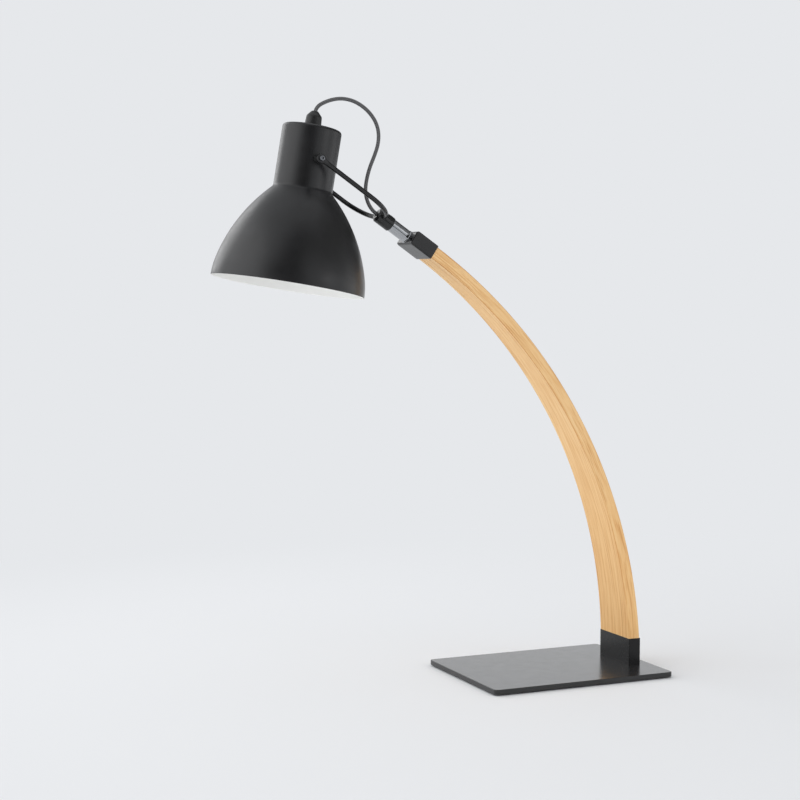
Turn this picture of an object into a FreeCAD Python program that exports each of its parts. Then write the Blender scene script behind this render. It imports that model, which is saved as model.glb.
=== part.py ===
"""Desk lamp: a curved wooden arm on a flat steel base carries a spun bell shade in a rod yoke.

The frame's origin is the centre of the underside of the base, +Z up. X runs along the base's
long side and the head hangs out towards -X. Lengths are in millimetres, angles in degrees.
"""
import FreeCAD, Part
import math
import os
import re
import Sketcher
from FreeCAD import Placement, Rotation, Vector

DOC = FreeCAD.newDocument("desk_lamp")

# ---------------------------------------------------------------- driving dimensions

SIZES = {
    # base
    "plate_long": 200.0, "plate_wide": 150.0, "plate_thick": 5.0, "plate_corner": 4.0,
    "plate_edge": 0.5, "pad_thick": 1.0, "pad_inset": 4.0,
    # foot socket
    "socket_deep": 13.3, "socket_wide": 57.8, "socket_high": 26.5, "socket_wall": 1.1,
    "socket_floor": 3.0, "socket_setback": 0.35, "socket_edge": 0.4,
    "foot_screw_dia": 5.0, "foot_screw_head": 9.4, "foot_screw_spread": 17.0,
    "foot_screw_grip": 18.0,
    # wooden arm
    "arm_foot_x": 83.75, "arm_radius": 505.0, "arm_sweep": 55.9, "arm_thick": 12.3,
    "arm_foot_wide": 57.0, "arm_mouth_wide": 31.6, "channel_wide": 4.4, "strip_thick": 3.2,
    # cap at the arm's upper end
    "cap_long": 26.5, "cap_thick": 14.9, "cap_wide": 33.6, "cap_wall": 1.6, "cap_depth": 16.0,
    "cap_nose": 3.0, "cap_screw_dia": 2.6, "cap_screw_head": 5.0, "cap_screw_spread": 8.5,
    "cap_screw_back": 8.0, "cap_screw_long": 6.0,
    # swivel tube and the sleeve over it
    "tube_dia": 10.0, "tube_bore": 7.0, "sleeve_dia": 12.8, "sleeve_foot_dia": 13.8,
    "sleeve_foot_long": 1.0,
    # yoke: distances along the tube's axis, counted from the tilt axis
    "pivot_reach": 150.7, "yoke_reach": 85.5, "hub_dia": 14.4, "hub_long": 18.0,
    "hub_nose": 2.0, "hub_seat": 9.3, "rod_dia": 4.5, "rod_spread": 35.0, "rod_bend": 29.0,
    "rod_grip": 2.8, "rod_back": 5.0, "eye_dia": 9.0, "eye_thick": 4.7, "bush_dia": 6.4,
    "bush_long": 2.4,
    "swivel_screw_dia": 3.0, "swivel_screw_back": 4.0, "groove_deep": 0.5,
    # tilt pivots
    "pivot_screw_dia": 3.0, "pivot_head_dia": 5.2, "pivot_head_long": 3.0,
    "pivot_washer_dia": 8.2, "pivot_washer_thick": 0.5, "spacer_dia": 8.0,
    "pivot_nut_af": 5.5, "pivot_nut_thick": 2.4, "pivot_tail": 0.6,
    # shade
    "head_tilt": 9.6, "rim_radius": 72.8, "bell_high": 91.5, "bell_low_radius": 72.0,
    "bell_low_turn": 14.0, "neck_radius": 28.1, "shade_high": 151.0, "pivot_high": 119.3,
    "shade_wall": 1.0, "neck_round": 3.0,
    # cord grip, nipple and lampholder
    "grip_dia": 16.2, "grip_tip": 14.4, "grip_high": 15.8, "grip_straight": 11.0,
    "grip_mouth": 5.4, "grip_dome": 4.9, "grip_flare": 5.0, "nipple_dia": 10.0, "nipple_bore": 7.2,
    "nipple_above": 7.0,
    "nipple_below": 3.4, "nipple_nut_af": 14.0, "nipple_nut_thick": 3.0,
    "holder_dia": 40.0, "holder_wall": 1.6, "holder_cap_high": 17.0, "holder_cap_top": 24.0,
    "holder_cap_straight": 5.3, "holder_lip": 14.6, "holder_shell_long": 32.0,
    "insert_dia": 36.6, "insert_thick": 10.7, "insert_ring": 3.2, "insert_skirt": 10.0,
    "screw_shell_bore": 26.6, "screw_shell_wall": 0.6, "screw_shell_long": 18.0,
    "contact_dia": 6.0, "contact_thick": 2.0, "contact_gap": 0.4,
    # leads
    "cord_dia": 3.6, "exit_high": 13.0, "lead_bend": 5.0, "grommet_dia": 10.0,
    "grommet_flange": 1.6, "grommet_neck": 6.8, "grommet_bore": 4.4,
    # clearances
    "running": 0.05, "loose": 0.1,
}

# Sizes that follow from the driving ones, written as expressions of them.
DERIVED = {
    "plate_top": "pad_thick + plate_thick",
    "arc_x": "arm_foot_x - arm_radius",
    "socket_x": "arm_foot_x - socket_setback",
    "mouth_x": "arc_x + arm_radius * cos(arm_sweep)",
    "mouth_z": "plate_top + arm_radius * sin(arm_sweep)",
    "pivot_x": "mouth_x - pivot_reach * sin(arm_sweep)",
    "pivot_z": "mouth_z + pivot_reach * cos(arm_sweep)",
    "foot_tongue_thick": "socket_deep - 2 * socket_wall - 2 * loose",
    "foot_tongue_wide": "socket_wide - 2 * socket_wall - 2 * loose",
    "tongue_thick": "cap_thick - 2 * cap_wall - 2 * loose",
    "tongue_wide": "cap_wide - 2 * cap_wall - 2 * loose",
    "tongue_long": "cap_depth - loose",
    "exit_turn": "asin((exit_high + lead_bend) / (arm_radius + lead_bend))",
    "hub_front": "0 - yoke_reach",
    "hub_back": "0 - yoke_reach - hub_long",
    "hub_seat_z": "hub_back + hub_seat",
    "rod_cross_z": "0 - yoke_reach - rod_back",
    "hub_radius": "hub_dia / 2",
    "eye_in": "rod_spread - eye_thick / 2",
    "eye_out": "rod_spread + eye_thick / 2",
    "washer_in": "eye_in - pivot_washer_thick",
    "washer_out": "eye_out + pivot_washer_thick",
    "neck_inside": "neck_radius - shade_wall",
    "nut_corner": "pivot_nut_af / 2 / cos(30)",
    "pivot_nut_y": "sqrt(neck_inside ^ 2 - nut_corner ^ 2)",
    "rim_z": "0 - pivot_high",
    "neck_top": "shade_high - pivot_high",
    "bell_top": "bell_high - pivot_high",
    "bell_joint_r": "rim_radius - bell_low_radius * (1 - cos(bell_low_turn))",
    "bell_joint_high": "bell_low_radius * sin(bell_low_turn)",
    "bell_run_r": "bell_joint_r - neck_radius",
    "bell_run_high": "bell_high - bell_joint_high",
    "bell_up_radius": "(bell_run_r ^ 2 + bell_run_high ^ 2) / 2"
                      " / (bell_run_r * cos(bell_low_turn) - bell_run_high * sin(bell_low_turn))",
    "nut_top": "neck_top - shade_wall",
    "holder_top": "nut_top - nipple_nut_thick",
    "holder_joint": "holder_top - holder_cap_high",
    "holder_radius": "holder_dia / 2",
    "insert_low": "holder_joint - insert_thick",
    "shell_low": "holder_joint - holder_shell_long",
    "screw_shell_high": "insert_low - contact_thick - contact_gap",
    "insert_bore": "screw_shell_bore / 2 + screw_shell_wall + running",
    "nipple_hole": "nipple_dia / 2 + running",
    "grip_top": "neck_top + grip_high",
    "loop_start": "grip_top - grip_flare",
    "cord_hole": "cord_dia / 2 + loose",
}

SHEET = DOC.addObject("Spreadsheet::Sheet", "Sizes")
for row, (alias, size) in enumerate(SIZES.items(), start=1):
    SHEET.set(f"A{row}", alias)
    SHEET.set(f"B{row}", str(size))
    SHEET.setAlias(f"B{row}", alias)
DOC.recompute()


def bind(text):
    """Write a size expression out in terms of the sheet's cells."""
    def replace(match):
        word = match.group(0)
        if word in SIZES:
            return f"Sizes.{word}"
        if word in DERIVED:
            return f"({bind(DERIVED[word])})"
        return word
    return re.sub(r"[a-z_]\w*", replace, text)


def value(text):
    """The number that a size expression has now."""
    return float(SHEET.evalExpression(bind(text)))


# ---------------------------------------------------------------- drawing helpers

FRAMES = {
    "stand": ("0", "0", (0, 1, 0), "0"),
    "cap": ("mouth_x", "mouth_z", (0, -1, 0), "arm_sweep"),
    "yoke": ("pivot_x", "pivot_z", (0, -1, 0), "arm_sweep"),
    "head": ("pivot_x", "pivot_z", (0, 1, 0), "head_tilt"),
}
PARTS = []


def place(thing, label, frame):
    """Name a sub-part, put it in one of the lamp's frames and list it for writing."""
    x_text, z_text, axis, angle = FRAMES[frame]
    thing.Label = label
    base = Vector(value(x_text), 0, value(z_text))
    thing.Placement = Placement(base, Rotation(Vector(*axis), value(angle)))
    if frame != "stand":
        thing.setExpression("Placement.Base.x", bind(x_text))
        thing.setExpression("Placement.Base.z", bind(z_text))
        thing.setExpression("Placement.Rotation.Angle", bind(angle))
    PARTS.append(thing)
    return thing


def new_body(name):
    return DOC.addObject("PartDesign::Body", "Body_" + name)


def plane(body, role):
    return next(item for item in body.Origin.OriginFeatures if item.Role == role)


def new_sketch(body, role, lift="0"):
    """An empty sketch on one of the body's own planes, raised along the plane's normal."""
    sketch = body.newObject("Sketcher::SketchObject", "Sketch")
    sketch.AttachmentSupport = (plane(body, role), [""])
    sketch.MapMode = "FlatFace"
    sketch.AttachmentOffset = Placement(Vector(0, 0, value(lift)), Rotation())
    sketch.setExpression("AttachmentOffset.Base.z", bind(lift))
    return sketch


def arc_between(start, end, radius, side):
    """Arc from start to end with its centre left (+1) or right (-1) of the way there."""
    chord = end - start
    half = chord.Length / 2
    across = Vector(-chord.y, chord.x, 0).normalize()
    centre = (start + end) * 0.5 + across * side * math.sqrt(max(radius ** 2 - half ** 2, 0.0))
    first, last = (start, end) if side > 0 else (end, start)
    angles = [math.atan2(point.y - centre.y, point.x - centre.x) for point in (first, last)]
    return Part.ArcOfCircle(Part.Circle(centre, Vector(0, 0, 1), radius), *angles)


def outline(sketch, corners, arcs=None, closed=True):
    """Draw sides through corners; arcs gives a side's radius and the hand of its centre."""
    arcs = arcs or {}
    points = [Vector(value(x), value(y), 0) for x, y in corners]
    sides = len(points) if closed else len(points) - 1
    ends = []
    first = sketch.GeometryCount
    for side in range(sides):
        start, end = points[side], points[(side + 1) % len(points)]
        if side in arcs:
            radius, hand = arcs[side]
            index = sketch.addGeometry(arc_between(start, end, value(radius), hand), False)
            ends.append((index, 1, 2) if hand > 0 else (index, 2, 1))
        else:
            index = sketch.addGeometry(Part.LineSegment(start, end), False)
            ends.append((index, 1, 2))
    joints = sides if closed else sides - 1
    for side in range(joints):
        index, _, finish = ends[side]
        following, begin, _ = ends[(side + 1) % sides]
        sketch.addConstraint(Sketcher.Constraint("Coincident", index, finish, following, begin))
    for number, (corner, point) in enumerate(zip(corners, points)):
        index, begin, finish = ends[min(number, sides - 1)]
        at = begin if number < sides else finish
        for kind, text, size in zip(("DistanceX", "DistanceY"), corner, (point.x, point.y)):
            rule = sketch.addConstraint(Sketcher.Constraint(kind, -1, 1, index, at, size))
            sketch.setExpression(f"Constraints[{rule}]", bind(text))
    for side, (radius, _) in arcs.items():
        rule = sketch.addConstraint(Sketcher.Constraint("Radius", first + side, value(radius)))
        sketch.setExpression(f"Constraints[{rule}]", bind(radius))
    return sketch


def circle(sketch, x_text, y_text, radius):
    """Draw a circle bound to its centre and radius."""
    centre = Vector(value(x_text), value(y_text), 0)
    index = sketch.addGeometry(Part.Circle(centre, Vector(0, 0, 1), value(radius)), False)
    for kind, text, size in (("DistanceX", x_text, centre.x), ("DistanceY", y_text, centre.y)):
        rule = sketch.addConstraint(Sketcher.Constraint(kind, -1, 1, index, 3, size))
        sketch.setExpression(f"Constraints[{rule}]", bind(text))
    rule = sketch.addConstraint(Sketcher.Constraint("Radius", index, value(radius)))
    sketch.setExpression(f"Constraints[{rule}]", bind(radius))
    return sketch


def hexagon(sketch, across_flats):
    """Draw a hexagon about the sketch's origin, two of its corners on the sketch's X axis."""
    corners = []
    for corner in range(6):
        turn = 60 * corner
        reach = f"{across_flats} / 2 / cos(30)"
        corners.append((f"{reach} * cos({turn})", f"{reach} * sin({turn})"))
    return outline(sketch, corners)


def box_corners(half_x, low, high):
    other = f"0 - ({half_x})"
    return [(other, low), (half_x, low), (half_x, high), (other, high)]


def pad(body, sketch, length, both_ways=False, reverse=False):
    feature = body.newObject("PartDesign::Pad", "Pad")
    return extrude(feature, sketch, length, both_ways, reverse)


def pocket(body, sketch, length, both_ways=False, reverse=False):
    feature = body.newObject("PartDesign::Pocket", "Pocket")
    return extrude(feature, sketch, length, both_ways, reverse)


def extrude(feature, sketch, length, both_ways, reverse):
    feature.Profile = sketch
    feature.SideType = "Symmetric" if both_ways else "One side"
    feature.Reversed = reverse
    feature.Length = value(length)
    feature.setExpression("Length", bind(length))
    return feature


def turn(body, sketch, axis="V_Axis", cut=False):
    """Revolve or groove a sketch about one of its own axes."""
    kind = "PartDesign::Groove" if cut else "PartDesign::Revolution"
    feature = body.newObject(kind, "Turn")
    feature.Profile = sketch
    feature.ReferenceAxis = (sketch, [axis])
    feature.Angle = 360
    return feature


def turn_about(body, sketch, start, end, cut=False):
    """Revolve or groove a sketch about the line from start to end."""
    points = [Vector(value(x), value(y), 0) for x, y in (start, end)]
    index = sketch.addGeometry(Part.LineSegment(*points), True)
    for at, (corner, point) in enumerate(zip((start, end), points), start=1):
        for kind, text, size in zip(("DistanceX", "DistanceY"), corner, (point.x, point.y)):
            rule = sketch.addConstraint(Sketcher.Constraint(kind, -1, 1, index, at, size))
            sketch.setExpression(f"Constraints[{rule}]", bind(text))
    return turn(body, sketch, "Axis0", cut)


def turned(name, frame, profile, arcs=None):
    """A body turned about its frame's Z axis from (radius, height) corners."""
    body = new_body(name)
    turn(body, outline(new_sketch(body, "XZ_Plane"), profile, arcs))
    return place(body, name, frame)


def ring(name, frame, inner, outer, low, high):
    """A plain round sleeve or washer about its frame's Z axis."""
    return turned(name, frame, [(inner, low), (outer, low), (outer, high), (inner, high)])


def mirror(body, *features):
    """Add the other hand of the features named, or of the whole body, across its XZ plane."""
    pair = body.newObject("PartDesign::Mirrored", "Mirror")
    solids = [item for item in body.Group if item.isDerivedFrom("PartDesign::Feature")]
    pair.Originals = list(features) or [item for item in solids if item is not pair]
    pair.MirrorPlane = (plane(body, "XZ_Plane"), [""])
    body.Tip = pair
    return pair


def round_edges(body, radius, wanted):
    """Round the edges that wanted(edge) picks on the body's present tip."""
    DOC.recompute()
    base = body.Tip
    names = [f"Edge{number}" for number, edge in enumerate(base.Shape.Edges, start=1)
             if wanted(edge)]
    feature = body.newObject("PartDesign::Fillet", "Round")
    feature.Base = (base, names)
    feature.Radius = value(radius)
    feature.setExpression("Radius", bind(radius))
    return feature


SAME = 1e-6
Y_AXIS, Z_AXIS = Vector(0, 1, 0), Vector(0, 0, 1)


def runs_along(edge, axis):
    """Whether an edge is straight along a unit vector."""
    if edge.Curve.TypeId != "Part::GeomLine":
        return False
    return abs(abs(edge.tangentAt(edge.FirstParameter).dot(axis)) - 1) < SAME


def lies_at(item, height):
    """Whether an edge or a face lies wholly at one height of its body."""
    box = item.BoundBox
    return abs(box.ZMin - height) < SAME and abs(box.ZMax - height) < SAME

# ---------------------------------------------------------------- base and foot


def make_base_pad():
    """Thin foam sheet under the plate: the face that rests on the table."""
    body = new_body("base_pad")
    long, wide = "plate_long / 2 - pad_inset", "plate_wide / 2 - pad_inset"
    sketch = outline(new_sketch(body, "XY_Plane"), box_corners(long, f"0 - ({wide})", wide))
    pad(body, sketch, "pad_thick")
    round_edges(body, "plate_corner", lambda edge: runs_along(edge, Z_AXIS))
    return place(body, "base_pad", "stand")


def turn_foot_screw(body, corners, cut=False):
    """Revolve or groove (radius, height) corners about the foot screw's own axis."""
    sketch = new_sketch(body, "XZ_Plane", "foot_screw_spread")
    outline(sketch, [(f"socket_x + {radius}", height) for radius, height in corners])
    low, high = corners[0][1], corners[-1][1]
    return turn_about(body, sketch, ("socket_x", low), ("socket_x", high), cut)


def make_base_plate():
    """Flat steel plate with two countersunk holes for the foot's screws."""
    body = new_body("base_plate")
    sketch = new_sketch(body, "XY_Plane", "pad_thick")
    pad(body, outline(sketch, box_corners("plate_long / 2", "0 - plate_wide / 2",
                                          "plate_wide / 2")), "plate_thick")
    round_edges(body, "plate_corner", lambda edge: runs_along(edge, Z_AXIS))
    top = value("plate_top")
    round_edges(body, "plate_edge", lambda edge: lies_at(edge, top))
    shank = "foot_screw_dia / 2 + loose"
    head = "foot_screw_head / 2 + loose"
    hole = turn_foot_screw(body, [
        ("0", "pad_thick"), (head, "pad_thick"),
        (shank, f"pad_thick + {head} - ({shank})"), (shank, "plate_top"), ("0", "plate_top")],
        cut=True)
    mirror(body, hole)
    return place(body, "base_plate", "stand")


def make_foot_screws():
    """Two countersunk screws up through the plate into the end of the arm."""
    body = new_body("foot_screws")
    shank, head = "foot_screw_dia / 2", "foot_screw_head / 2"
    tip = "plate_top + socket_floor + foot_screw_grip"
    turn_foot_screw(body, [
        ("0", "pad_thick"), (head, "pad_thick"), (shank, f"pad_thick + {head} - {shank}"),
        (shank, f"{tip} - foot_screw_dia / 2"), ("0", tip)])
    mirror(body)
    return place(body, "foot_screws", "stand")


def make_foot_socket():
    """Folded steel socket that takes the arm's lower tongue."""
    body = new_body("foot_socket")
    sketch = new_sketch(body, "XZ_Plane")
    left, right = "socket_x - socket_deep / 2", "socket_x + socket_deep / 2"
    top = "plate_top + socket_high"
    outline(sketch, [(left, "plate_top"), (right, "plate_top"), (right, top), (left, top)])
    pad(body, sketch, "socket_wide", both_ways=True)
    round_edges(body, "socket_edge", lambda edge: runs_along(edge, Z_AXIS))
    floor = "plate_top + socket_floor"
    hollow = new_sketch(body, "XZ_Plane")
    outline(hollow, [(f"{left} + socket_wall", floor), (f"{right} - socket_wall", floor),
                     (f"{right} - socket_wall", f"{top} + socket_wall"),
                     (f"{left} + socket_wall", f"{top} + socket_wall")])
    pocket(body, hollow, "socket_wide - 2 * socket_wall", both_ways=True)
    shank = "foot_screw_dia / 2 + loose"
    hole = turn_foot_screw(body, [("0", "plate_top"), (shank, "plate_top"), (shank, floor),
                                  ("0", floor)], cut=True)
    mirror(body, hole)
    inlet = new_sketch(body, "YZ_Plane", right)
    circle(inlet, "0", "plate_top + exit_high", "grommet_neck / 2 + loose")
    pocket(body, inlet, "2 * socket_wall")
    return place(body, "foot_socket", "stand")


def make_cord_grommet():
    """Rubber bush in the socket's back wall, where a supply lead goes in."""
    body = new_body("cord_grommet")
    wall_out = "socket_x + socket_deep / 2"
    wall_in = f"{wall_out} - socket_wall + running"
    flange = f"{wall_out} + grommet_flange"
    height = "plate_top + exit_high"
    bore, neck, rim = "grommet_bore / 2", "grommet_neck / 2", "grommet_dia / 2"
    sketch = new_sketch(body, "XZ_Plane")
    outline(sketch, [(wall_in, f"{height} + {bore}"), (flange, f"{height} + {bore}"),
                     (flange, f"{height} + {rim} - grommet_flange / 2"),
                     (f"{flange} - grommet_flange / 2", f"{height} + {rim}"),
                     (wall_out, f"{height} + {rim}"), (wall_out, f"{height} + {neck}"),
                     (wall_in, f"{height} + {neck}")])
    turn_about(body, sketch, (wall_in, height), (flange, height))
    return place(body, "cord_grommet", "stand")


# ---------------------------------------------------------------- wooden arm


def arm_point(radius, angle):
    """A point of the arm's side view at a radius and an angle about the arm's centre."""
    return (f"arc_x + ({radius}) * cos({angle})", f"plate_top + ({radius}) * sin({angle})")


def mouth_point(out, along):
    """A point of the side view, out from the tube's axis and along it from the arm's mouth."""
    return (f"mouth_x + ({out}) * cos(arm_sweep) - ({along}) * sin(arm_sweep)",
            f"mouth_z + ({out}) * sin(arm_sweep) + ({along}) * cos(arm_sweep)")


def make_arm():
    """Wooden arm: an arc of even thickness that narrows upwards, with a tongue at each end."""
    body = new_body("arm")
    inner, outer = "arm_radius - arm_thick / 2", "arm_radius + arm_thick / 2"
    low = "asin(socket_floor / arm_radius)"
    side = outline(
        new_sketch(body, "XZ_Plane"),
        [arm_point(outer, low), arm_point(outer, "arm_sweep"), arm_point(inner, "arm_sweep"),
         arm_point(inner, low)],
        {0: (outer, 1), 2: (inner, -1)})
    pad(body, side, "arm_foot_wide", both_ways=True)
    tongue = outline(
        new_sketch(body, "XZ_Plane"),
        [mouth_point("tongue_thick / 2", "0 - cap_wall"),
         mouth_point("tongue_thick / 2", "tongue_long"),
         mouth_point("0 - tongue_thick / 2", "tongue_long"),
         mouth_point("0 - tongue_thick / 2", "0 - cap_wall")])
    pad(body, tongue, "tongue_wide", both_ways=True)
    cut_arm_sides(body)
    cut_foot_tongue(body)
    cut_arm_channel(body)
    cut_screw_pilots(body)
    return place(body, "arm", "stand")


def cut_arm_sides(body):
    """Trim both sides to the front view: a straight taper from the foot to the mouth."""
    foot_z, over, waste = "plate_top + socket_high", "mouth_z + cap_long", "arm_foot_wide"
    mouth_low = "mouth_z - arm_thick / 2 * sin(arm_sweep)"
    cut = outline(
        new_sketch(body, "YZ_Plane"),
        [("arm_foot_wide / 2", foot_z), (waste, foot_z), (waste, over),
         ("arm_mouth_wide / 2", over), ("arm_mouth_wide / 2", mouth_low)])
    mirror(body, pocket(body, cut, "4 * arm_radius", both_ways=True))


def cut_foot_tongue(body):
    """Rebate the lower end to a straight tongue that fits the foot socket."""
    floor, top = "plate_top", "plate_top + socket_high"
    left, right = "socket_x - foot_tongue_thick / 2", "socket_x + foot_tongue_thick / 2"
    for near, far in ((left, "socket_x - arm_thick"), (right, "socket_x + arm_thick")):
        cheek = outline(new_sketch(body, "XZ_Plane"),
                        [(near, floor), (far, floor), (far, top), (near, top)])
        pocket(body, cheek, "2 * arm_foot_wide", both_ways=True)
    half = "foot_tongue_wide / 2"
    edge = outline(new_sketch(body, "YZ_Plane", "socket_x"),
                   [(half, floor), ("arm_foot_wide", floor), ("arm_foot_wide", top),
                    (half, top)])
    mirror(body, pocket(body, edge, "4 * arm_thick", both_ways=True))
    level = outline(new_sketch(body, "XZ_Plane"),
                    [("socket_x - arm_thick", floor), ("socket_x + arm_thick", floor),
                     ("socket_x + arm_thick", f"{floor} + socket_floor + running"),
                     ("socket_x - arm_thick", f"{floor} + socket_floor + running")])
    pocket(body, level, "2 * arm_foot_wide", both_ways=True)


def cut_arm_channel(body):
    """Cut the lead's slot along the convex face, from the foot's inlet through the tongue."""
    deep, proud = "arm_radius - channel_wide / 2", "arm_radius + arm_thick"
    low = "asin((exit_high - channel_wide / 2) / arm_radius)"
    slot = outline(
        new_sketch(body, "XZ_Plane"),
        [arm_point(proud, low), arm_point(proud, "arm_sweep"),
         mouth_point("arm_thick", "cap_long"), mouth_point("0 - channel_wide / 2", "cap_long"),
         arm_point(deep, "arm_sweep"), arm_point(deep, low)],
        {0: (proud, 1), 4: (deep, -1)})
    pocket(body, slot, "channel_wide", both_ways=True)


def cut_screw_pilots(body):
    """Pilot holes for the foot's screws and the cap's screws."""
    pilot = "foot_screw_dia / 2 + running"
    top = "plate_top + socket_floor + foot_screw_grip + running"
    foot = turn_foot_screw(body, [("0", "plate_top"), (pilot, "plate_top"), (pilot, top),
                                  ("0", top)], cut=True)
    cap = new_sketch(body, "XZ_Plane", "cap_screw_spread")
    reach = "cap_thick / 2 - cap_screw_long - loose"
    shank = "cap_screw_dia / 2 + running"
    outline(cap, [mouth_point(reach, "cap_screw_back"),
                  mouth_point(reach, f"cap_screw_back + {shank}"),
                  mouth_point("cap_thick", f"cap_screw_back + {shank}"),
                  mouth_point("cap_thick", "cap_screw_back")])
    drill = turn_about(body, cap, mouth_point(reach, "cap_screw_back"),
                       mouth_point("cap_thick", "cap_screw_back"), cut=True)
    mirror(body, foot, drill)


def make_channel_strip():
    """Wooden strip that closes the lead's slot flush with the arm's convex face."""
    body = new_body("channel_strip")
    outer, inner = "arm_radius + arm_thick / 2", "arm_radius + arm_thick / 2 - strip_thick"
    low = "asin((socket_high + running) / arm_radius)"
    sketch = outline(
        new_sketch(body, "XZ_Plane"),
        [arm_point(outer, low), arm_point(outer, "arm_sweep"), arm_point(inner, "arm_sweep"),
         arm_point(inner, low)],
        {0: (outer, 1), 2: (inner, -1)})
    pad(body, sketch, "channel_wide - 2 * running", both_ways=True)
    return place(body, "channel_strip", "stand")


def make_arm_lead():
    """Two-core lead held along the whole stand, from the yoke's hub to the foot's inlet."""
    body = new_body("arm_lead")
    profile = circle(new_sketch(body, "XY_Plane"), "0", "0", "cord_dia / 2")
    start = mouth_point("0", "pivot_reach - yoke_reach")
    mouth = mouth_point("0", "0")
    bend_out = arm_point("arm_radius", "exit_turn")
    bend_end = ("arc_x + (arm_radius + lead_bend) * cos(exit_turn)", "plate_top + exit_high")
    stop = ("socket_x + socket_deep / 2 - socket_wall", "plate_top + exit_high")
    route = outline(new_sketch(body, "XZ_Plane"), [start, mouth, bend_out, bend_end, stop],
                    {1: ("arm_radius", -1), 2: ("lead_bend", 1)}, closed=False)
    x_text, z_text = start
    profile.AttachmentOffset = Placement(Vector(value(x_text), 0, value(z_text)),
                                         Rotation(Vector(0, -1, 0), value("arm_sweep")))
    profile.setExpression("AttachmentOffset.Base.x", bind(x_text))
    profile.setExpression("AttachmentOffset.Base.z", bind(z_text))
    profile.setExpression("AttachmentOffset.Rotation.Angle", bind("arm_sweep"))
    pipe = body.newObject("PartDesign::AdditivePipe", "Pipe")
    pipe.Profile = profile
    pipe.Spine = (route, [""])
    return place(body, "arm_lead", "stand")


# ---------------------------------------------------------------- cap, tube and sleeve


def make_arm_cap():
    """Black metal cap: a socket for the arm's tongue and a bored block for the tube."""
    body = new_body("arm_cap")
    sketch = outline(new_sketch(body, "XZ_Plane"),
                     box_corners("cap_thick / 2", "0", "cap_long"))
    pad(body, sketch, "cap_wide", both_ways=True)
    front = value("cap_long")
    round_edges(body, "cap_nose", lambda edge: lies_at(edge, front) and runs_along(edge, Y_AXIS))
    hollow = outline(new_sketch(body, "XZ_Plane"),
                     box_corners("cap_thick / 2 - cap_wall", "0 - cap_wall", "cap_depth"))
    pocket(body, hollow, "cap_wide - 2 * cap_wall", both_ways=True)
    bore = outline(new_sketch(body, "XZ_Plane"),
                   [("0", "cap_depth"), ("tube_dia / 2 + running", "cap_depth"),
                    ("tube_dia / 2 + running", "cap_long"), ("0", "cap_long")])
    turn(body, bore, cut=True)
    hole = new_sketch(body, "XZ_Plane", "cap_screw_spread")
    shank = "cap_screw_dia / 2 + running"
    outline(hole, [("0", "cap_screw_back"), ("0", f"cap_screw_back + {shank}"),
                   ("cap_thick", f"cap_screw_back + {shank}"), ("cap_thick", "cap_screw_back")])
    drill = turn_about(body, hole, ("0", "cap_screw_back"), ("cap_thick", "cap_screw_back"),
                       cut=True)
    mirror(body, drill)
    return place(body, "arm_cap", "cap")


def make_cap_screws():
    """Two small domed screws through the cap's upper side into the tongue."""
    body = new_body("cap_screws")
    sketch = new_sketch(body, "XZ_Plane", "cap_screw_spread")
    face, shank, head = "cap_thick / 2", "cap_screw_dia / 2", "cap_screw_head / 2"
    tip = f"{face} - cap_screw_long"
    dome = f"{face} + cap_screw_dia / 2"
    outline(sketch, [(tip, "cap_screw_back"), (f"{tip} + {shank}", f"cap_screw_back + {shank}"),
                     (face, f"cap_screw_back + {shank}"), (face, f"cap_screw_back + {head}"),
                     (dome, f"cap_screw_back + {head} / 2"), (dome, "cap_screw_back")])
    turn_about(body, sketch, (tip, "cap_screw_back"), (dome, "cap_screw_back"))
    mirror(body)
    return place(body, "cap_screws", "cap")


def make_swivel_tube():
    """Plated tube screwed into the cap; the hub turns on its free end."""
    outer, bore = "tube_dia / 2", "tube_bore / 2"
    top = "pivot_reach + hub_seat_z - loose"
    groove = "pivot_reach + hub_back + swivel_screw_back"
    half = "swivel_screw_dia / 4 + loose"
    return turned("swivel_tube", "cap", [
        (bore, "cap_depth + loose"), (outer, "cap_depth + loose"),
        (outer, f"{groove} - ({half})"), (f"{outer} - groove_deep", f"{groove} - ({half})"),
        (f"{outer} - groove_deep", f"{groove} + {half}"), (outer, f"{groove} + {half}"),
        (outer, top), (bore, top)])


def make_tube_sleeve():
    """Plated sleeve over the tube, from a small flared foot on the cap up to the hub."""
    bore, foot = "tube_dia / 2 + running", "sleeve_foot_dia / 2"
    top = "pivot_reach + hub_back - loose"
    return turned("tube_sleeve", "cap", [
        (bore, "cap_long"), (foot, "cap_long"), (foot, "cap_long + sleeve_foot_long / 2"),
        ("sleeve_dia / 2", "cap_long + sleeve_foot_long"), ("sleeve_dia / 2", top),
        (bore, top)])


# ---------------------------------------------------------------- yoke


def make_hub():
    """Turned hub: a seat for the tube behind, the lead's bore and the rods' holes in front."""
    body = new_body("hub")
    bore, seat = "cord_hole", "tube_dia / 2 + running"
    bush = "bush_dia / 2 + running"
    sketch = outline(new_sketch(body, "XZ_Plane"), [
        (seat, "hub_back"), ("hub_radius", "hub_back"), ("hub_radius", "hub_front - hub_nose"),
        ("hub_radius - hub_nose", "hub_front"), (bush, "hub_front"),
        (bush, "hub_front - bush_long"), (bore, "hub_front - bush_long"),
        (bore, "hub_seat_z"), (seat, "hub_seat_z")])
    turn(body, sketch)
    cross = circle(new_sketch(body, "XZ_Plane"), "0", "rod_cross_z", "rod_dia / 2 + running")
    pocket(body, cross, "2 * hub_dia", both_ways=True)
    screw = circle(new_sketch(body, "YZ_Plane"), "0", "hub_back + swivel_screw_back",
                   "swivel_screw_dia / 2 + running")
    pocket(body, screw, "hub_dia", reverse=True)
    return place(body, "hub", "yoke")


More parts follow.
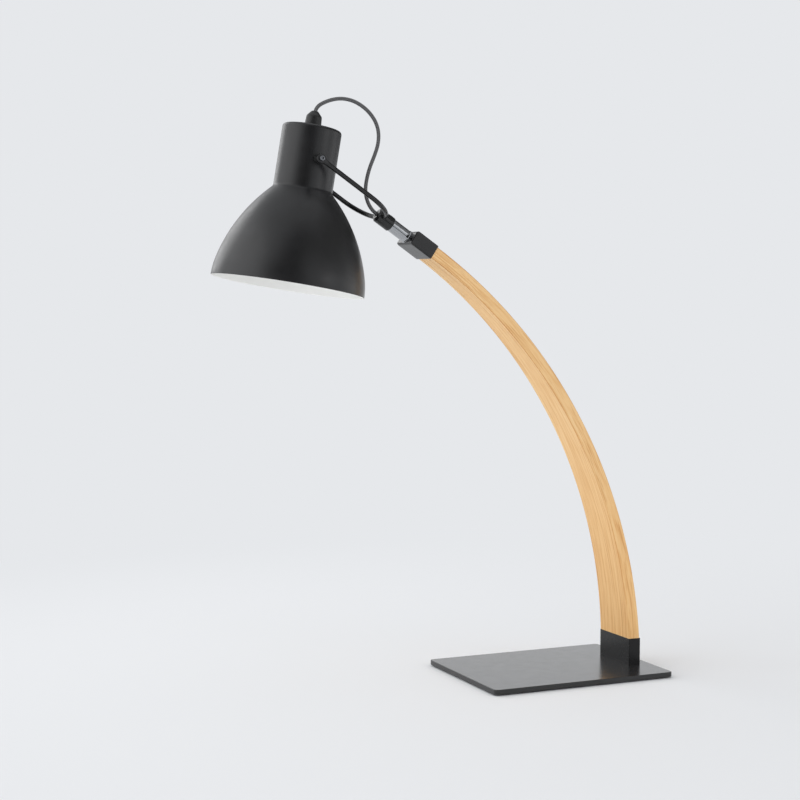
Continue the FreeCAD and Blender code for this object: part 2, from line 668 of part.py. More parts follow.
def make_cord_bush():
    """Plastic bush that lines the hub's front, where the lead goes in."""
    return ring("cord_bush", "yoke", "cord_hole", "bush_dia / 2", "hub_front - bush_long",
                "hub_front")


def make_swivel_screw():
    """Nylon-tipped set screw whose tip rides in the tube's groove and brakes the swivel."""
    body = new_body("swivel_screw")
    height = "hub_back + swivel_screw_back"
    shank, tip = "swivel_screw_dia / 2", "swivel_screw_dia / 4"
    seat = "tube_dia / 2 + running"
    deep = "tube_dia / 2 - groove_deep + running"
    sketch = outline(new_sketch(body, "XZ_Plane"), [
        (deep, height), (deep, f"{height} + {tip}"), (seat, f"{height} + {tip}"),
        (seat, f"{height} + {shank}"), ("hub_radius", f"{height} + {shank}"),
        ("hub_radius", height)])
    turn_about(body, sketch, (deep, height), ("hub_radius", height))
    return place(body, "swivel_screw", "yoke")


def make_yoke_arm(name, hand):
    """Bent rod from the hub's side to a flat eye beside the neck; hand is +1 or -1 along Y."""
    body = new_body(name)
    spread, eye = f"{hand} * rod_spread", "eye_dia / 2"
    centre = f"{hand} * (rod_spread - rod_bend)"
    start, straight = "0 - eye_dia / 3", "rod_cross_z + rod_bend"
    profile = circle(new_sketch(body, "XY_Plane", start), "0", spread, "rod_dia / 2")
    route = outline(new_sketch(body, "YZ_Plane"),
                    [(spread, start), (spread, straight), (centre, "rod_cross_z"),
                     (f"{hand} * (hub_radius - rod_grip)", "rod_cross_z")],
                    {1: ("rod_bend", -hand)}, closed=False)
    pipe = body.newObject("PartDesign::AdditivePipe", "Pipe")
    pipe.Profile = profile
    pipe.Spine = (route, [""])
    lift = f"0 - {hand} * rod_spread"
    disc = circle(new_sketch(body, "XZ_Plane", lift), "0", "0", eye)
    pad(body, disc, "eye_thick", both_ways=True)
    hole = circle(new_sketch(body, "XZ_Plane", lift), "0", "0", "pivot_screw_dia / 2 + running")
    pocket(body, hole, "2 * eye_thick", both_ways=True)
    return place(body, name, "yoke")


# ---------------------------------------------------------------- tilt pivots


def across(name, profile):
    """A pair of pieces turned about the tilt axis from (distance along Y, radius) corners."""
    body = new_body(name)
    turn(body, outline(new_sketch(body, "YZ_Plane"), profile), "H_Axis")
    mirror(body)
    return place(body, name, "head")


def make_pivot_parts():
    """Screws, washers, spacers and nuts that clamp the yoke's eyes to the neck."""
    shank, hole = "pivot_screw_dia / 2", "pivot_screw_dia / 2 + loose"
    head, tip = "pivot_head_dia / 2", "pivot_nut_y - pivot_nut_thick - pivot_tail"
    cup = "pivot_head_dia / 4"
    top = "washer_out + pivot_head_long"
    across("pivot_screws", [
        (tip, "0"), (tip, shank), ("washer_out", shank), ("washer_out", head), (top, head),
        (top, cup), ("washer_out + pivot_head_long / 2", cup),
        ("washer_out + pivot_head_long / 2", "0")])
    across("pivot_spacers", [
        ("neck_radius", hole), ("washer_in", hole), ("washer_in", "spacer_dia / 2"),
        ("neck_radius", "spacer_dia / 2")])
    body = new_body("pivot_washers")
    for inner, outer in (("washer_in", "eye_in"), ("eye_out", "washer_out")):
        disc = outline(new_sketch(body, "YZ_Plane"), [
            (inner, hole), (outer, hole), (outer, "pivot_washer_dia / 2"),
            (inner, "pivot_washer_dia / 2")])
        turn(body, disc, "H_Axis")
    mirror(body)
    place(body, "pivot_washers", "head")
    nut = new_body("pivot_nuts")
    pad(nut, hexagon(new_sketch(nut, "XZ_Plane", "0 - pivot_nut_y"), "pivot_nut_af"),
        "pivot_nut_thick")
    drill = circle(new_sketch(nut, "XZ_Plane"), "0", "0", hole)
    pocket(nut, drill, "4 * neck_radius", both_ways=True)
    mirror(nut)
    place(nut, "pivot_nuts", "head")


# ---------------------------------------------------------------- shade and lampholder


def make_shade():
    """Spun aluminium shade: a bell of two tangent arcs, a straight neck and a closed top."""
    body = new_body("shade")
    profile = outline(
        new_sketch(body, "XZ_Plane"),
        [("0", "rim_z"), ("rim_radius", "rim_z"),
         ("bell_joint_r", "rim_z + bell_joint_high"), ("neck_radius", "bell_top"),
         ("neck_radius", "neck_top"), ("0", "neck_top")],
        {1: ("bell_low_radius", 1), 2: ("bell_up_radius", 1)})
    turn(body, profile)
    top = value("neck_top")
    round_edges(body, "neck_round", lambda edge: lies_at(edge, top))
    DOC.recompute()
    solid = body.Tip
    low = value("rim_z")
    faces = [f"Face{number}" for number, face in enumerate(solid.Shape.Faces, start=1)
             if lies_at(face, low)]
    skin = body.newObject("PartDesign::Thickness", "Skin")
    skin.Base = (solid, faces)
    skin.Join = "Intersection"
    skin.Reversed = True
    skin.Value = value("shade_wall")
    skin.setExpression("Value", bind("shade_wall"))
    body.Tip = skin
    hole = circle(new_sketch(body, "XY_Plane", "neck_top"), "0", "0", "nipple_hole")
    pocket(body, hole, "2 * shade_wall")
    pivots = circle(new_sketch(body, "XZ_Plane"), "0", "0", "pivot_screw_dia / 2 + loose")
    pocket(body, pivots, "4 * neck_radius", both_ways=True)
    return place(body, "shade", "head")


def make_cord_grip():
    """Domed cord grip screwed down on the shade's top."""
    foot, tip, mouth = "grip_dia / 2", "grip_tip / 2", "grip_mouth / 2"
    shoulder, inside = "neck_top + grip_straight", "neck_top + nipple_above + loose"
    return turned("cord_grip", "head", [
        ("nipple_hole", "neck_top"), (foot, "neck_top"), (tip, shoulder), (mouth, "grip_top"),
        ("cord_hole", "loop_start"), ("cord_hole", inside), ("nipple_hole", inside)],
        {2: ("grip_dome", 1)})


def make_nipple_parts():
    """Threaded hollow rod through the shade's top and the nut that clamps it."""
    ring("nipple", "head", "nipple_bore / 2", "nipple_dia / 2", "holder_top - nipple_below",
         "neck_top + nipple_above")
    nut = new_body("nipple_nut")
    pad(nut, hexagon(new_sketch(nut, "XY_Plane", "holder_top"), "nipple_nut_af"),
        "nipple_nut_thick")
    drill = circle(new_sketch(nut, "XY_Plane", "nut_top"), "0", "0", "nipple_hole")
    pocket(nut, drill, "2 * nipple_nut_thick")
    place(nut, "nipple_nut", "head")


def make_lampholder():
    """Lampholder for an E27 lamp: cap, skirt, insulator, screw shell and centre contact."""
    outer = "holder_radius"
    inner = "holder_radius - holder_wall"
    crown = "holder_cap_top / 2"
    ledge = "insert_dia / 2 - insert_ring / 2"
    bend = "holder_joint + holder_cap_straight"
    turned("holder_cap", "head", [
        ("nipple_hole", "holder_top"), (crown, "holder_top"), (outer, bend),
        (outer, "holder_joint"), (ledge, "holder_joint"), (ledge, f"{bend} - holder_wall"),
        (f"{crown} - holder_wall", "holder_top - 1.5 * holder_wall"),
        ("nipple_hole", "holder_top - 1.5 * holder_wall")])
    turned("holder_shell", "head", [
        (inner, "holder_joint"), (outer, "holder_joint"), (outer, "shell_low"),
        ("holder_lip", "shell_low"), ("holder_lip", "shell_low + holder_wall"),
        (inner, "shell_low + holder_wall")])
    turned("holder_insert", "head", [
        ("0", "insert_low"), ("insert_bore", "insert_low"),
        ("insert_bore", "insert_low - insert_skirt"),
        ("insert_dia / 2", "insert_low - insert_skirt"), ("insert_dia / 2", "holder_joint"),
        ("0", "holder_joint")])
    ring("screw_shell", "head", "screw_shell_bore / 2", "screw_shell_bore / 2 + screw_shell_wall",
         "screw_shell_high - screw_shell_long", "screw_shell_high")
    turned("centre_contact", "head", [
        ("0", "insert_low - contact_thick"), ("contact_dia / 4", "insert_low - contact_thick"),
        ("contact_dia / 2", "insert_low - contact_thick / 2"), ("contact_dia / 2", "insert_low"),
        ("0", "insert_low")])
    turned("holder_lead", "head", [
        ("0", "holder_joint"), ("cord_dia / 2", "holder_joint"), ("cord_dia / 2", "loop_start"),
        ("0", "loop_start")])


# ---------------------------------------------------------------- the lead's free loop

# Route of the loop between the cord grip and the hub: (x, y, z) in the lamp's frame.
LOOP_POINTS = [
    (-251.6, 0.2, 560.7), (-246.8, 0.5, 563.6), (-238.5, 0.9, 567.0), (-228.0, 1.2, 568.9),
    (-217.0, 1.4, 567.6), (-207.0, 1.4, 563.2), (-198.5, 1.2, 556.4), (-192.3, 0.9, 547.8),
    (-189.6, 0.5, 538.0), (-190.4, 0.0, 527.0), (-194.6, -0.4, 515.6), (-199.6, -0.8, 504.6),
    (-202.9, -0.9, 493.2), (-204.2, -0.8, 483.0), (-202.6, -0.5, 473.6),
]
BEND_SHARE = 0.45
FIRST_RUN, LAST_RUN = 5.6, 6.0


def loop_route():
    """The loop's whole route: out of the grip, through LOOP_POINTS and to the hub."""
    tilt, sweep = math.radians(value("head_tilt")), math.radians(value("arm_sweep"))
    pivot = Vector(value("pivot_x"), 0, value("pivot_z"))
    head_axis = Vector(math.sin(tilt), 0, math.cos(tilt))
    tube_axis = Vector(-math.sin(sweep), 0, math.cos(sweep))
    start = pivot + head_axis * value("loop_start")
    end = pivot + tube_axis * value("hub_front")
    middle = [Vector(*point) for point in LOOP_POINTS]
    return [start, start + head_axis * FIRST_RUN] + middle + [end + tube_axis * LAST_RUN, end]


def rounded_path(points):
    """Straight runs joined by tangent arcs; prints the radius at each inner point."""
    edges, radii = [], []
    begin = points[0]
    for before, corner, after in zip(points, points[1:], points[2:]):
        come, leave = corner - before, after - corner
        half_turn = come.getAngle(leave) / 2
        cut = BEND_SHARE * min(come.Length, leave.Length)
        radii.append(cut / math.tan(half_turn))
        come_dir, leave_dir = Vector(come).normalize(), Vector(leave).normalize()
        first, last = corner - come_dir * cut, corner + leave_dir * cut
        inward = Vector(leave_dir - come_dir).normalize()
        middle = corner + inward * (radii[-1] / math.cos(half_turn) - radii[-1])
        edges.append(Part.LineSegment(begin, first).toShape())
        edges.append(Part.Arc(first, middle, last).toShape())
        begin = last
    edges.append(Part.LineSegment(begin, points[-1]).toShape())
    print("loop radii, mm:", [round(radius, 1) for radius in radii])
    return Part.Wire(edges)


def make_cord_loop():
    """The lead's free loop between the shade and the hub, a tube of tangent runs and arcs."""
    path = rounded_path(loop_route())
    radius = value("cord_dia") / 2
    start = path.Edges[0].Vertexes[0].Point
    heading = path.Edges[0].tangentAt(path.Edges[0].FirstParameter)
    profile = Part.Wire([Part.Circle(start, heading, radius).toShape()])
    tube = path.makePipeShell([profile], True, False)
    expected = math.pi * radius ** 2 * path.Length
    if abs(tube.Volume / expected - 1) > 0.01:
        raise ValueError(f"the loop's volume is {tube.Volume:.0f}, not {expected:.0f}")
    print("loop length, mm:", round(path.Length, 1))
    feature = DOC.addObject("Part::Feature", "CordLoop")
    feature.Shape = tube
    feature.Label = "cord_loop"
    PARTS.append(feature)
    return feature


# ---------------------------------------------------------------- the whole lamp


def check_document():
    """Stop if any object failed or any sub-part isn't one valid, solid shape."""
    for item in DOC.Objects:
        if "Invalid" in item.State or "Error" in item.State:
            raise RuntimeError(f"{item.Name} ({item.Label}) is {item.State}")
    for item in PARTS:
        shape = item.Shape
        if shape.isNull() or not shape.isValid() or not shape.Solids:
            raise RuntimeError(f"{item.Label} has no valid solid")


def write_parts():
    os.makedirs("parts", exist_ok=True)
    for item in PARTS:
        item.Shape.exportStep(os.path.join("parts", item.Label + ".step"))


make_base_pad()
make_base_plate()
make_foot_socket()
make_foot_screws()
make_cord_grommet()
make_arm()
make_channel_strip()
make_arm_lead()
make_arm_cap()
make_cap_screws()
make_swivel_tube()
make_tube_sleeve()
make_hub()
make_cord_bush()
make_swivel_screw()
make_yoke_arm("yoke_arm_left", 1)
make_yoke_arm("yoke_arm_right", -1)
make_pivot_parts()
make_shade()
make_cord_grip()
make_nipple_parts()
make_lampholder()
make_cord_loop()
DOC.recompute()
check_document()
write_parts()
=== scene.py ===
"""Desk lamp: a curved wooden arm on a flat steel base carries a spun bell shade in a rod yoke.

The lamp's finished surfaces over its CAD frame. Shapes are worked out in millimetres, each as
rings of points that follow one another, and become metres when they are set into the lamp.
"""

import bmesh
import bpy
import numpy as np
from mathutils import Matrix


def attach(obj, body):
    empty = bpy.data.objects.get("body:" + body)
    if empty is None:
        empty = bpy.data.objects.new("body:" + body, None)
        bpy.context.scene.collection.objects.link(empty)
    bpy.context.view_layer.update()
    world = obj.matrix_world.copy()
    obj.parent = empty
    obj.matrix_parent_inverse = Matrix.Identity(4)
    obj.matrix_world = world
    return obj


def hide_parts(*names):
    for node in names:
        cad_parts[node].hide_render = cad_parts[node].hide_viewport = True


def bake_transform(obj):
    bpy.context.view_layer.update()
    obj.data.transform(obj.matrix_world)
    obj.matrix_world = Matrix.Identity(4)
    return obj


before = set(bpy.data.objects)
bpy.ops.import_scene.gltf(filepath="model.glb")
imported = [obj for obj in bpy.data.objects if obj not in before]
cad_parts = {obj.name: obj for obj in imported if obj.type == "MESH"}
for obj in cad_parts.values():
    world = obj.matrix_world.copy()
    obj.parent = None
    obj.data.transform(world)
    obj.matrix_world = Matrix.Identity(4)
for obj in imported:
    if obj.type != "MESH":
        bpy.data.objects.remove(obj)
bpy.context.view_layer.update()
MM = 0.001

# ---------------- the lamp's layout

# Millimetres and radians. Heights on the cap, the tube and its sleeve count from the arm's mouth,
# and those on the yoke and the head from the tilt axis.
LOOSE, PLAY = 0.05, 0.1   # the gaps of a close fit and of an easy one
PLATE_TOP = 6.0
SOCKET_X, SOCKET_HALF, SOCKET_WALL = 83.4, (6.65, 28.9), 1.1
SOCKET_HIGH, SOCKET_FLOOR = 26.5, PLATE_TOP + 3.0
SOCKET_TOP = PLATE_TOP + SOCKET_HIGH
ARM_CENTRE, ARM_RADIUS, ARM_THICK = np.array((-421.25, 0.0, PLATE_TOP)), 505.0, 12.3
ARM_FOOT_WIDE, ARM_MOUTH_WIDE, ARM_MOUTH_LOW = 57.0, 31.6, 419.1
SLOT_HALF = 2.2
CAP_HALF, CAP_WALL, CAP_DEEP, CAP_LONG = (7.45, 16.8), 1.6, 16.0, 26.5
TUBE_RADIUS = 5.0
BORE = TUBE_RADIUS + LOOSE   # for the tube, and for the threaded nipple, which is as thick
CORE = 0.1   # radius at which a solid turned piece's end faces close
REACH, HUB_BACK, HUB_FLOOR, HUB_FACE = 150.7, -103.5, -94.2, -85.5
ROD, EYE_HALF, SPREAD = 2.25, 2.35, 35.0
RIM, RIM_LOW, SHADE_WALL = 72.8, -119.3, 1.0
NECK, NECK_FOOT, NECK_TOP = 28.1, -27.8, 31.7
CORD_DIA, CORD_HOLE, GRIP_THROAT = 3.6, 1.9, 42.5
SWEEP, TILT = np.radians(55.9), np.radians(9.6)
OUTWARD = np.array((np.cos(SWEEP), 0.0, np.sin(SWEEP)))
TUBE_AXIS = np.array((-np.sin(SWEEP), 0.0, np.cos(SWEEP)))
HEAD_AXIS = np.array((np.sin(TILT), 0.0, np.cos(TILT)))
MOUTH = ARM_CENTRE + ARM_RADIUS * OUTWARD
PIVOT = MOUTH + REACH * TUBE_AXIS
GRIP_MOUTH, HUB_FRONT = PIVOT + GRIP_THROAT * HEAD_AXIS, PIVOT + HUB_FACE * TUBE_AXIS

# ---------------- camera


def aim_camera():
    """A camera turned left of +Y and dipped, then rolled: right, up and back are its axes."""
    turn, dip, roll = np.radians((-23.92952, 3.65597, 0.09711))
    place, lens, sensor = (-0.83496, -1.50482, 0.38671), 76.503, 36.0
    ahead = np.array((-np.sin(turn) * np.cos(dip), np.cos(turn) * np.cos(dip), -np.sin(dip)))
    level = np.array((np.cos(turn), np.sin(turn), 0.0))
    above = np.cross(level, ahead)
    right = level * np.cos(roll) + above * np.sin(roll)
    up = above * np.cos(roll) - level * np.sin(roll)
    pose = np.eye(4)
    pose[:3, :] = np.stack((right, up, -ahead, place), axis=1)
    data = bpy.data.cameras.new("camera")
    data.lens, data.sensor_width = lens, sensor
    camera = bpy.data.objects.new("camera", data)
    camera.matrix_world = Matrix(pose.tolist())
    bpy.context.scene.collection.objects.link(camera)
    bpy.context.scene.camera = camera


# ---------------- shapes


def unit(vectors):
    """Vectors brought to length 1: each is divided by its own length."""
    return vectors / np.linalg.norm(vectors, axis=-1, keepdims=True)


def seat(origin, axis, side=(0.0, 1.0, 0.0)):
    """Where a piece sits: its origin and its directions, z along axis and x across side."""
    z = unit(np.asarray(axis, float))
    x = unit(np.cross(side, z))
    return np.asarray(origin, float), np.stack((x, np.cross(z, x), z))


LAMP = seat((0, 0, 0), (0, 0, 1))
CAP = seat(MOUTH, TUBE_AXIS)
YOKE = seat(PIVOT, TUBE_AXIS)
HEAD = seat(PIVOT, HEAD_AXIS)


def rounded(corners, steps=6):
    """A line through corners (x, y, radius), each turned into an arc tangent to both sides.

    With h half the turn, the arc's centre lies radius / cos(h) inside the corner.
    """
    line = np.array(corners, float)
    points, radius = line[:, :2], line[1:-1, 2:]
    come, leave = unit(points[1:-1] - points[:-2]), unit(points[2:] - points[1:-1])
    half = np.arccos(np.clip((come * leave).sum(1, keepdims=True), -1, 1)) / 2
    inward, onward = unit(leave - come), unit(leave + come)
    centre = points[1:-1] + inward * radius / np.cos(half)
    share = np.linspace(-1, 1, steps)[:, None, None]
    arcs = centre + radius * (onward * np.sin(share * half) - inward * np.cos(share * half))
    return np.concatenate((points[:1], arcs.swapaxes(0, 1).reshape(-1, 2), points[-1:]))


def lathe(profile, around=64, flats=None):
    """Rings about z at each (radius, height) of a profile, cut back to a hexagon if given.

    The hexagon's wall lies flats / 2 / cos(a) from the axis, a counted from the nearest flat.
    """
    profile = np.asarray(profile, float)
    angle = np.arange(around) * 2 * np.pi / around
    radius = np.repeat(profile[:, :1], around, axis=1)
    if flats:
        sixth = np.pi / 3
        radius = np.minimum(radius, flats / 2 / np.cos((angle + sixth / 2) % sixth - sixth / 2))
    height = np.repeat(profile[:, 1:2], around, axis=1)
    return np.stack((radius * np.cos(angle), radius * np.sin(angle), height), axis=-1)


def box_ring(steps=5, sides=7):
    """Ring table of a rounded rectangle: its inner corner's signs, then the arc's direction.

    Corner k turns from k to k + 1 quarters. The points from it to the next corner keep its last
    direction, and their signs run evenly from its own to the next one's.
    """
    signs = np.array(((1, 1), (-1, 1), (-1, -1), (1, -1)), float)[:, None]
    quarters = np.arange(4)[:, None] + np.concatenate((np.linspace(0, 1, steps), np.ones(sides)))
    share = np.concatenate((np.zeros(steps), np.linspace(0, 1, sides + 2)[1:-1]))[:, None]
    corner = signs * (1 - share) + np.roll(signs, -1, axis=0) * share
    angle = quarters * np.pi / 2
    return np.concatenate((corner, np.cos(angle)[..., None], np.sin(angle)[..., None]),
                          axis=-1).reshape(-1, 4)


def box_rows(half_x, half_y, corner, steps):
    """Rings of a rounded box from (inset along x, inset along y, height) steps.

    A point is its corner's sign * (half - radius) + direction * radius. An inset takes both the
    half width and the radius down.
    """
    ring, least = box_ring(), 0.02
    steps = np.asarray(steps, float)[:, None, :]
    half = np.array((half_x, half_y)) - steps[..., :2]
    radius = np.maximum(corner - steps[..., :2].max(-1, keepdims=True), least)
    flat = ring[:, :2] * (half - radius) + ring[:, 2:] * radius
    return np.concatenate((flat, np.broadcast_to(steps[..., 2:], flat.shape[:2] + (1,))), axis=-1)


def skin(name, shells, loop=False, inner=None, fields=None):
    """A mesh over rings of points, in millimetres: quads join each ring to the next.

    The last ring joins the first where loop is set, otherwise both end rings are flat faces.
    inner marks the rings from which the second material starts; fields adds vectors per point.
    """
    points, faces, second = [], [], []
    for rows in shells:
        rings, around = rows.shape[:2]
        index = np.arange(rings * around).reshape(rings, around) + sum(map(len, points))
        low = index if loop else index[:-1]
        high = np.roll(index, -1, axis=0) if loop else index[1:]
        quads = np.stack((low, np.roll(low, -1, 1), np.roll(high, -1, 1), high), axis=-1)
        second.append(np.repeat(np.arange(len(low)) >= (len(low) if inner is None else inner),
                                around))
        faces += quads.reshape(-1, 4).tolist()
        if not loop:
            faces += [index[0, ::-1].tolist(), index[-1].tolist()]
            second.append(np.zeros(2, bool))
        points.append(rows.reshape(-1, 3) * MM)
    mesh = bpy.data.meshes.new(name)
    mesh.from_pydata(np.concatenate(points).tolist(), [], faces)
    mesh.polygons.foreach_set("material_index", np.concatenate(second).astype(np.int32))
    for field, values in (fields or {}).items():
        layer = mesh.attributes.new(field, "FLOAT_VECTOR", "POINT")
        layer.data.foreach_set("vector", (values.reshape(-1) * MM).astype(np.float32))
    finish_mesh(mesh)
    thing = bpy.data.objects.new(name, mesh)
    bpy.context.scene.collection.objects.link(thing)
    return thing


def finish_mesh(mesh):
    """Merge doubled points, face every shell outwards and shade it smooth between its edges."""
    doubled, crease = 2e-6, np.radians(38)
    work = bmesh.new()
    work.from_mesh(mesh)
    bmesh.ops.remove_doubles(work, verts=work.verts, dist=doubled)
    bmesh.ops.recalc_face_normals(work, faces=work.faces)
    work.to_mesh(mesh)
    work.free()
    mesh.shade_smooth()
    mesh.set_sharp_from_angle(angle=crease)


def fit(name, places, shells, body, slot, *finishes, **shape):
    """Make and dress a rigid piece, which stands for the CAD node of its name.

    Its shells' rings are given at a seat of their own, and set in at each place: a point is
    origin + x, y and z along the seat's directions. shape is passed on to skin.
    """
    rings = [rows @ directions + origin for origin, directions in places for rows in shells]
    thing = skin(name + "_skin", rings, **shape)
    for finish in finishes:
        thing.data.materials.append(finish)
    flats = thing.modifiers.new("even flats", "WEIGHTED_NORMAL")
    flats.keep_sharp = True
    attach(thing, body)
    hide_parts(name)


# ---------------- finishes


def colour(code):
    """Linear colour of an sRGB hex code."""
    share = np.array([int(code[i:i + 2], 16) for i in (1, 3, 5)]) / 255
    linear = np.where(share <= 0.04045, share / 12.92, ((share + 0.055) / 1.055) ** 2.4)
    return (*linear.tolist(), 1.0)


def add(tree, kind, settings=None, links=None, stops=()):
    """Add a shader node: settings fill its fields and sockets, links join other nodes' outputs.

    stops are a colour ramp's (place, hex colour) marks, with eased colours between them.
    """
    made = tree.nodes.new("ShaderNode" + kind)
    for name, setting in (settings or {}).items():
        if isinstance(name, str) and hasattr(made, name):
            setattr(made, name, setting)
        else:
            made.inputs[name].default_value = setting
    for name, source in (links or {}).items():
        tree.links.new(source, made.inputs[name])
    if stops:
        made.color_ramp.interpolation = "EASE"
        marks = made.color_ramp.elements
        for mark, (at, code) in zip((marks[0], marks[1]), (stops[0], stops[-1])):
            mark.position, mark.color = at, colour(code)
        for at, code in stops[1:-1]:
            marks.new(at).color = colour(code)
    return made


def surface(name, **values):
    """A principled surface with plain values, ready for its patterns."""
    made = bpy.data.materials.new(name)
    made.use_nodes = True
    tree = made.node_tree
    tree.nodes.clear()
    shader = add(tree, "BsdfPrincipled",
                 {key.replace("_", " "): value for key, value in values.items()})
    add(tree, "OutputMaterial", links={"Surface": shader.outputs[0]})
    return made, tree, shader


def lay_on(tree, shader, tint, gloss, rough, height=None, depth=0.0, under=None):
    """Lead patterns into a surface: its colour, a range of roughness, and a bump.

    A random pattern lies mostly between 0.3 and 0.7, so rough is spread over that part of gloss.
    The bump is depth millimetres deep and lies on the one given as under.
    """
    tree.links.new(tint, shader.inputs["Base Color"])
    spread = add(tree, "MapRange", {"From Min": 0.3, "From Max": 0.7,
                                    "To Min": rough[0], "To Max": rough[1]}, {"Value": gloss})
    tree.links.new(spread.outputs["Result"], shader.inputs["Roughness"])
    if height:
        links = {"Height": height} | ({"Normal": under} if under else {})
        bump = add(tree, "Bump", {"Strength": 1.0, "Distance": depth * MM}, links)
        tree.links.new(bump.outputs["Normal"], shader.inputs["Normal"])


def coated(name, dark, light, smooth, rough, peel, depth, **values):
    """A plain coat: slow clouds of colour and gloss, and a skin of peel mm, depth mm deep."""
    made, tree, shader = surface(name, **values)
    where = add(tree, "TexCoord").outputs["Object"]
    cloud, haze, grain = (
        add(tree, "TexNoise", {"Scale": 1 / (size * MM), "Detail": detail},
            {"Vector": where}).outputs["Fac"]
        for size, detail in ((24.0, 3.0), (9.0, 2.0), (peel, 2.0)))
    tint = add(tree, "ValToRGB", links={"Fac": cloud}, stops=((0.3, dark), (0.7, light)))
    lay_on(tree, shader, tint.outputs["Color"], haze, (smooth, rough), grain, depth)
    return made


def powder_coat():
    """Polyester powder coat, baked on steel: satin black with a fine orange peel."""
    return coated("black powder coat", "#161617", "#1A1A1B", 0.22, 0.27, 1.1, 0.002, IOR=1.5)


def socket_shaded_coat():
    """The powder coat again, painted darker on the foot socket as painted shade; it mirrors less.
    """
    return coated("shaded powder coat", "#101011", "#131314", 0.26, 0.31, 1.1, 0.002, IOR=1.38)


def plate_lit_coat():
    """The same powder coat, flowed out flatter on the big level plate: a softer mirror."""
    # painted light: the plate's coat is a shade lighter than the powder coat's
    return coated("flat powder coat", "#1A1A1B", "#1F1F20", 0.21, 0.24, 1.2, 0.0008, IOR=1.55)


def shade_lacquer():
    """Satin black lacquer sprayed on spun aluminium: even, with faint rings left by spinning.

    The rings run round the head's axis about 1.5 mm apart, twice the real gap, so that they show.
    """
    made, tree, shader = surface("satin black lacquer", IOR=1.5)
    where = add(tree, "TexCoord").outputs["Object"]
    upright = add(tree, "Mapping", {"Rotation": (0.0, -TILT, 0.0), "Scale": (0.01, 0.01, 1.0)},
                  {"Vector": where})
    cloud, haze, rings, peel = (
        add(tree, "TexNoise", {"Scale": 1 / (size * MM), "Detail": detail},
            {"Vector": place}).outputs["Fac"]
        for place, size, detail in ((where, 30.0, 3.0), (where, 12.0, 2.0),
                                    (upright.outputs["Vector"], 1.5, 2.0), (where, 0.8, 2.0)))
    tint = add(tree, "ValToRGB", links={"Fac": cloud}, stops=((0.3, "#161617"), (0.7, "#1B1B1D")))
    spun = add(tree, "Bump", {"Strength": 1.0, "Distance": 0.006 * MM}, {"Height": rings})
    lay_on(tree, shader, tint.outputs["Color"], haze, (0.34, 0.4), peel, 0.008,
           under=spun.outputs["Normal"])
    return made


def white_enamel():
    """Matte white stoving enamel inside the shade: it spreads the lamp's light evenly."""
    return coated("matte white enamel", "#F0F0EE", "#F2F2F0", 0.52, 0.62, 0.7, 0.01, IOR=1.5)


def ash_wood():
    """Clear lacquered ash, sawn and sanded: peach early wood, tan late wood, fine open fibres.

    The grain field gives the way along the arm, across it and through it. Growth rings are
    planes across and through the arm that drift as they run along it, so both faces show them.
    """
    made, tree, shader = surface("lacquered ash", IOR=1.45)
    grain = add(tree, "Attribute", {"attribute_name": "grain"}).outputs["Vector"]
    noise = {}
    for label, along, across in (("drift", 260.0, 30.0), ("streak", 150.0, 3.2),
                                 ("pencil", 170.0, 1.7), ("fibre", 30.0, 1.1)):
        drawn = add(tree, "Mapping",
                    {"Scale": (1 / along / MM, 1 / across / MM, 1 / across / MM)},
                    {"Vector": grain})
        noise[label] = add(tree, "TexNoise", {"Scale": 1.0, "Detail": 2.5, "Roughness": 0.55},
                           {"Vector": drawn.outputs["Vector"]}).outputs["Fac"]
    ring_gap, ring_slope, wander = 5.6, (0.055, 0.86, 0.5), 2.4
    into = add(tree, "VectorMath", {"operation": "DOT_PRODUCT", 1: ring_slope}, {0: grain})
    drift = add(tree, "Math", {"operation": "MULTIPLY", 1: wander}, {0: noise["drift"]})
    rings = add(tree, "Math", {"operation": "MULTIPLY_ADD", 1: 1 / (ring_gap * MM)},
                {0: into.outputs["Value"], 2: drift.outputs[0]})
    year = add(tree, "Math", {"operation": "FRACT"}, {0: rings.outputs[0]})
    late = add(tree, "ValToRGB", links={"Fac": year.outputs[0]},
               stops=((0.0, "#000000"), (0.35, "#2A2A2A"), (0.8, "#FFFFFF"), (1.0, "#000000")))
    streaks = add(tree, "Math", {"operation": "MULTIPLY", 1: 0.8}, {0: noise["streak"]})
    tone = add(tree, "Math", {"operation": "MULTIPLY_ADD", 1: 0.15},
               {0: late.outputs["Color"], 2: streaks.outputs[0]})
    wood = add(tree, "ValToRGB", links={"Fac": tone.outputs[0]},
               stops=((0.2, "#F3CE98"), (0.42, "#EFC68D"), (0.6, "#E9BC81"),
                      (0.85, "#DEAD73"))).outputs["Color"]
    # the arris field darkens the wood along the arm's edges, more towards the top
    arris = add(tree, "Attribute", {"attribute_name": "arris"})
    arris = add(tree, "SeparateXYZ", links={0: arris.outputs["Vector"]})
    edge_darkening = add(tree, "Math", {"operation": "MULTIPLY", 1: 1 / MM}, {0: arris.outputs["X"]})
    length = add(tree, "SeparateXYZ", links={0: grain})
    turned = add(tree, "Math", {"operation": "DIVIDE", 1: ARM_RADIUS * MM},
                 {0: length.outputs["X"]})
    for factor, stops in ((noise["fibre"], ((0.32, "#F1E6D9"), (0.52, "#FFFFFF"))),
                          (noise["pencil"], ((0.37, "#EDDFCF"), (0.42, "#FFFFFF"))),
                          (turned.outputs[0], ((0.0, "#FFF8EC"), (0.6, "#FFFFFF"))),
                          (edge_darkening.outputs[0], ((0.0, "#FFFFFF"), (0.9, "#DAC0A2")))):
        layer = add(tree, "ValToRGB", links={"Fac": factor}, stops=stops)
        wood = add(tree, "Mix", {"data_type": "RGBA", "blend_type": "MULTIPLY", "Factor": 1.0},
                   {6: wood, 7: layer.outputs["Color"]}).outputs[2]
    lay_on(tree, shader, wood, noise["fibre"], (0.6, 0.48), noise["fibre"], 0.03)
    return made


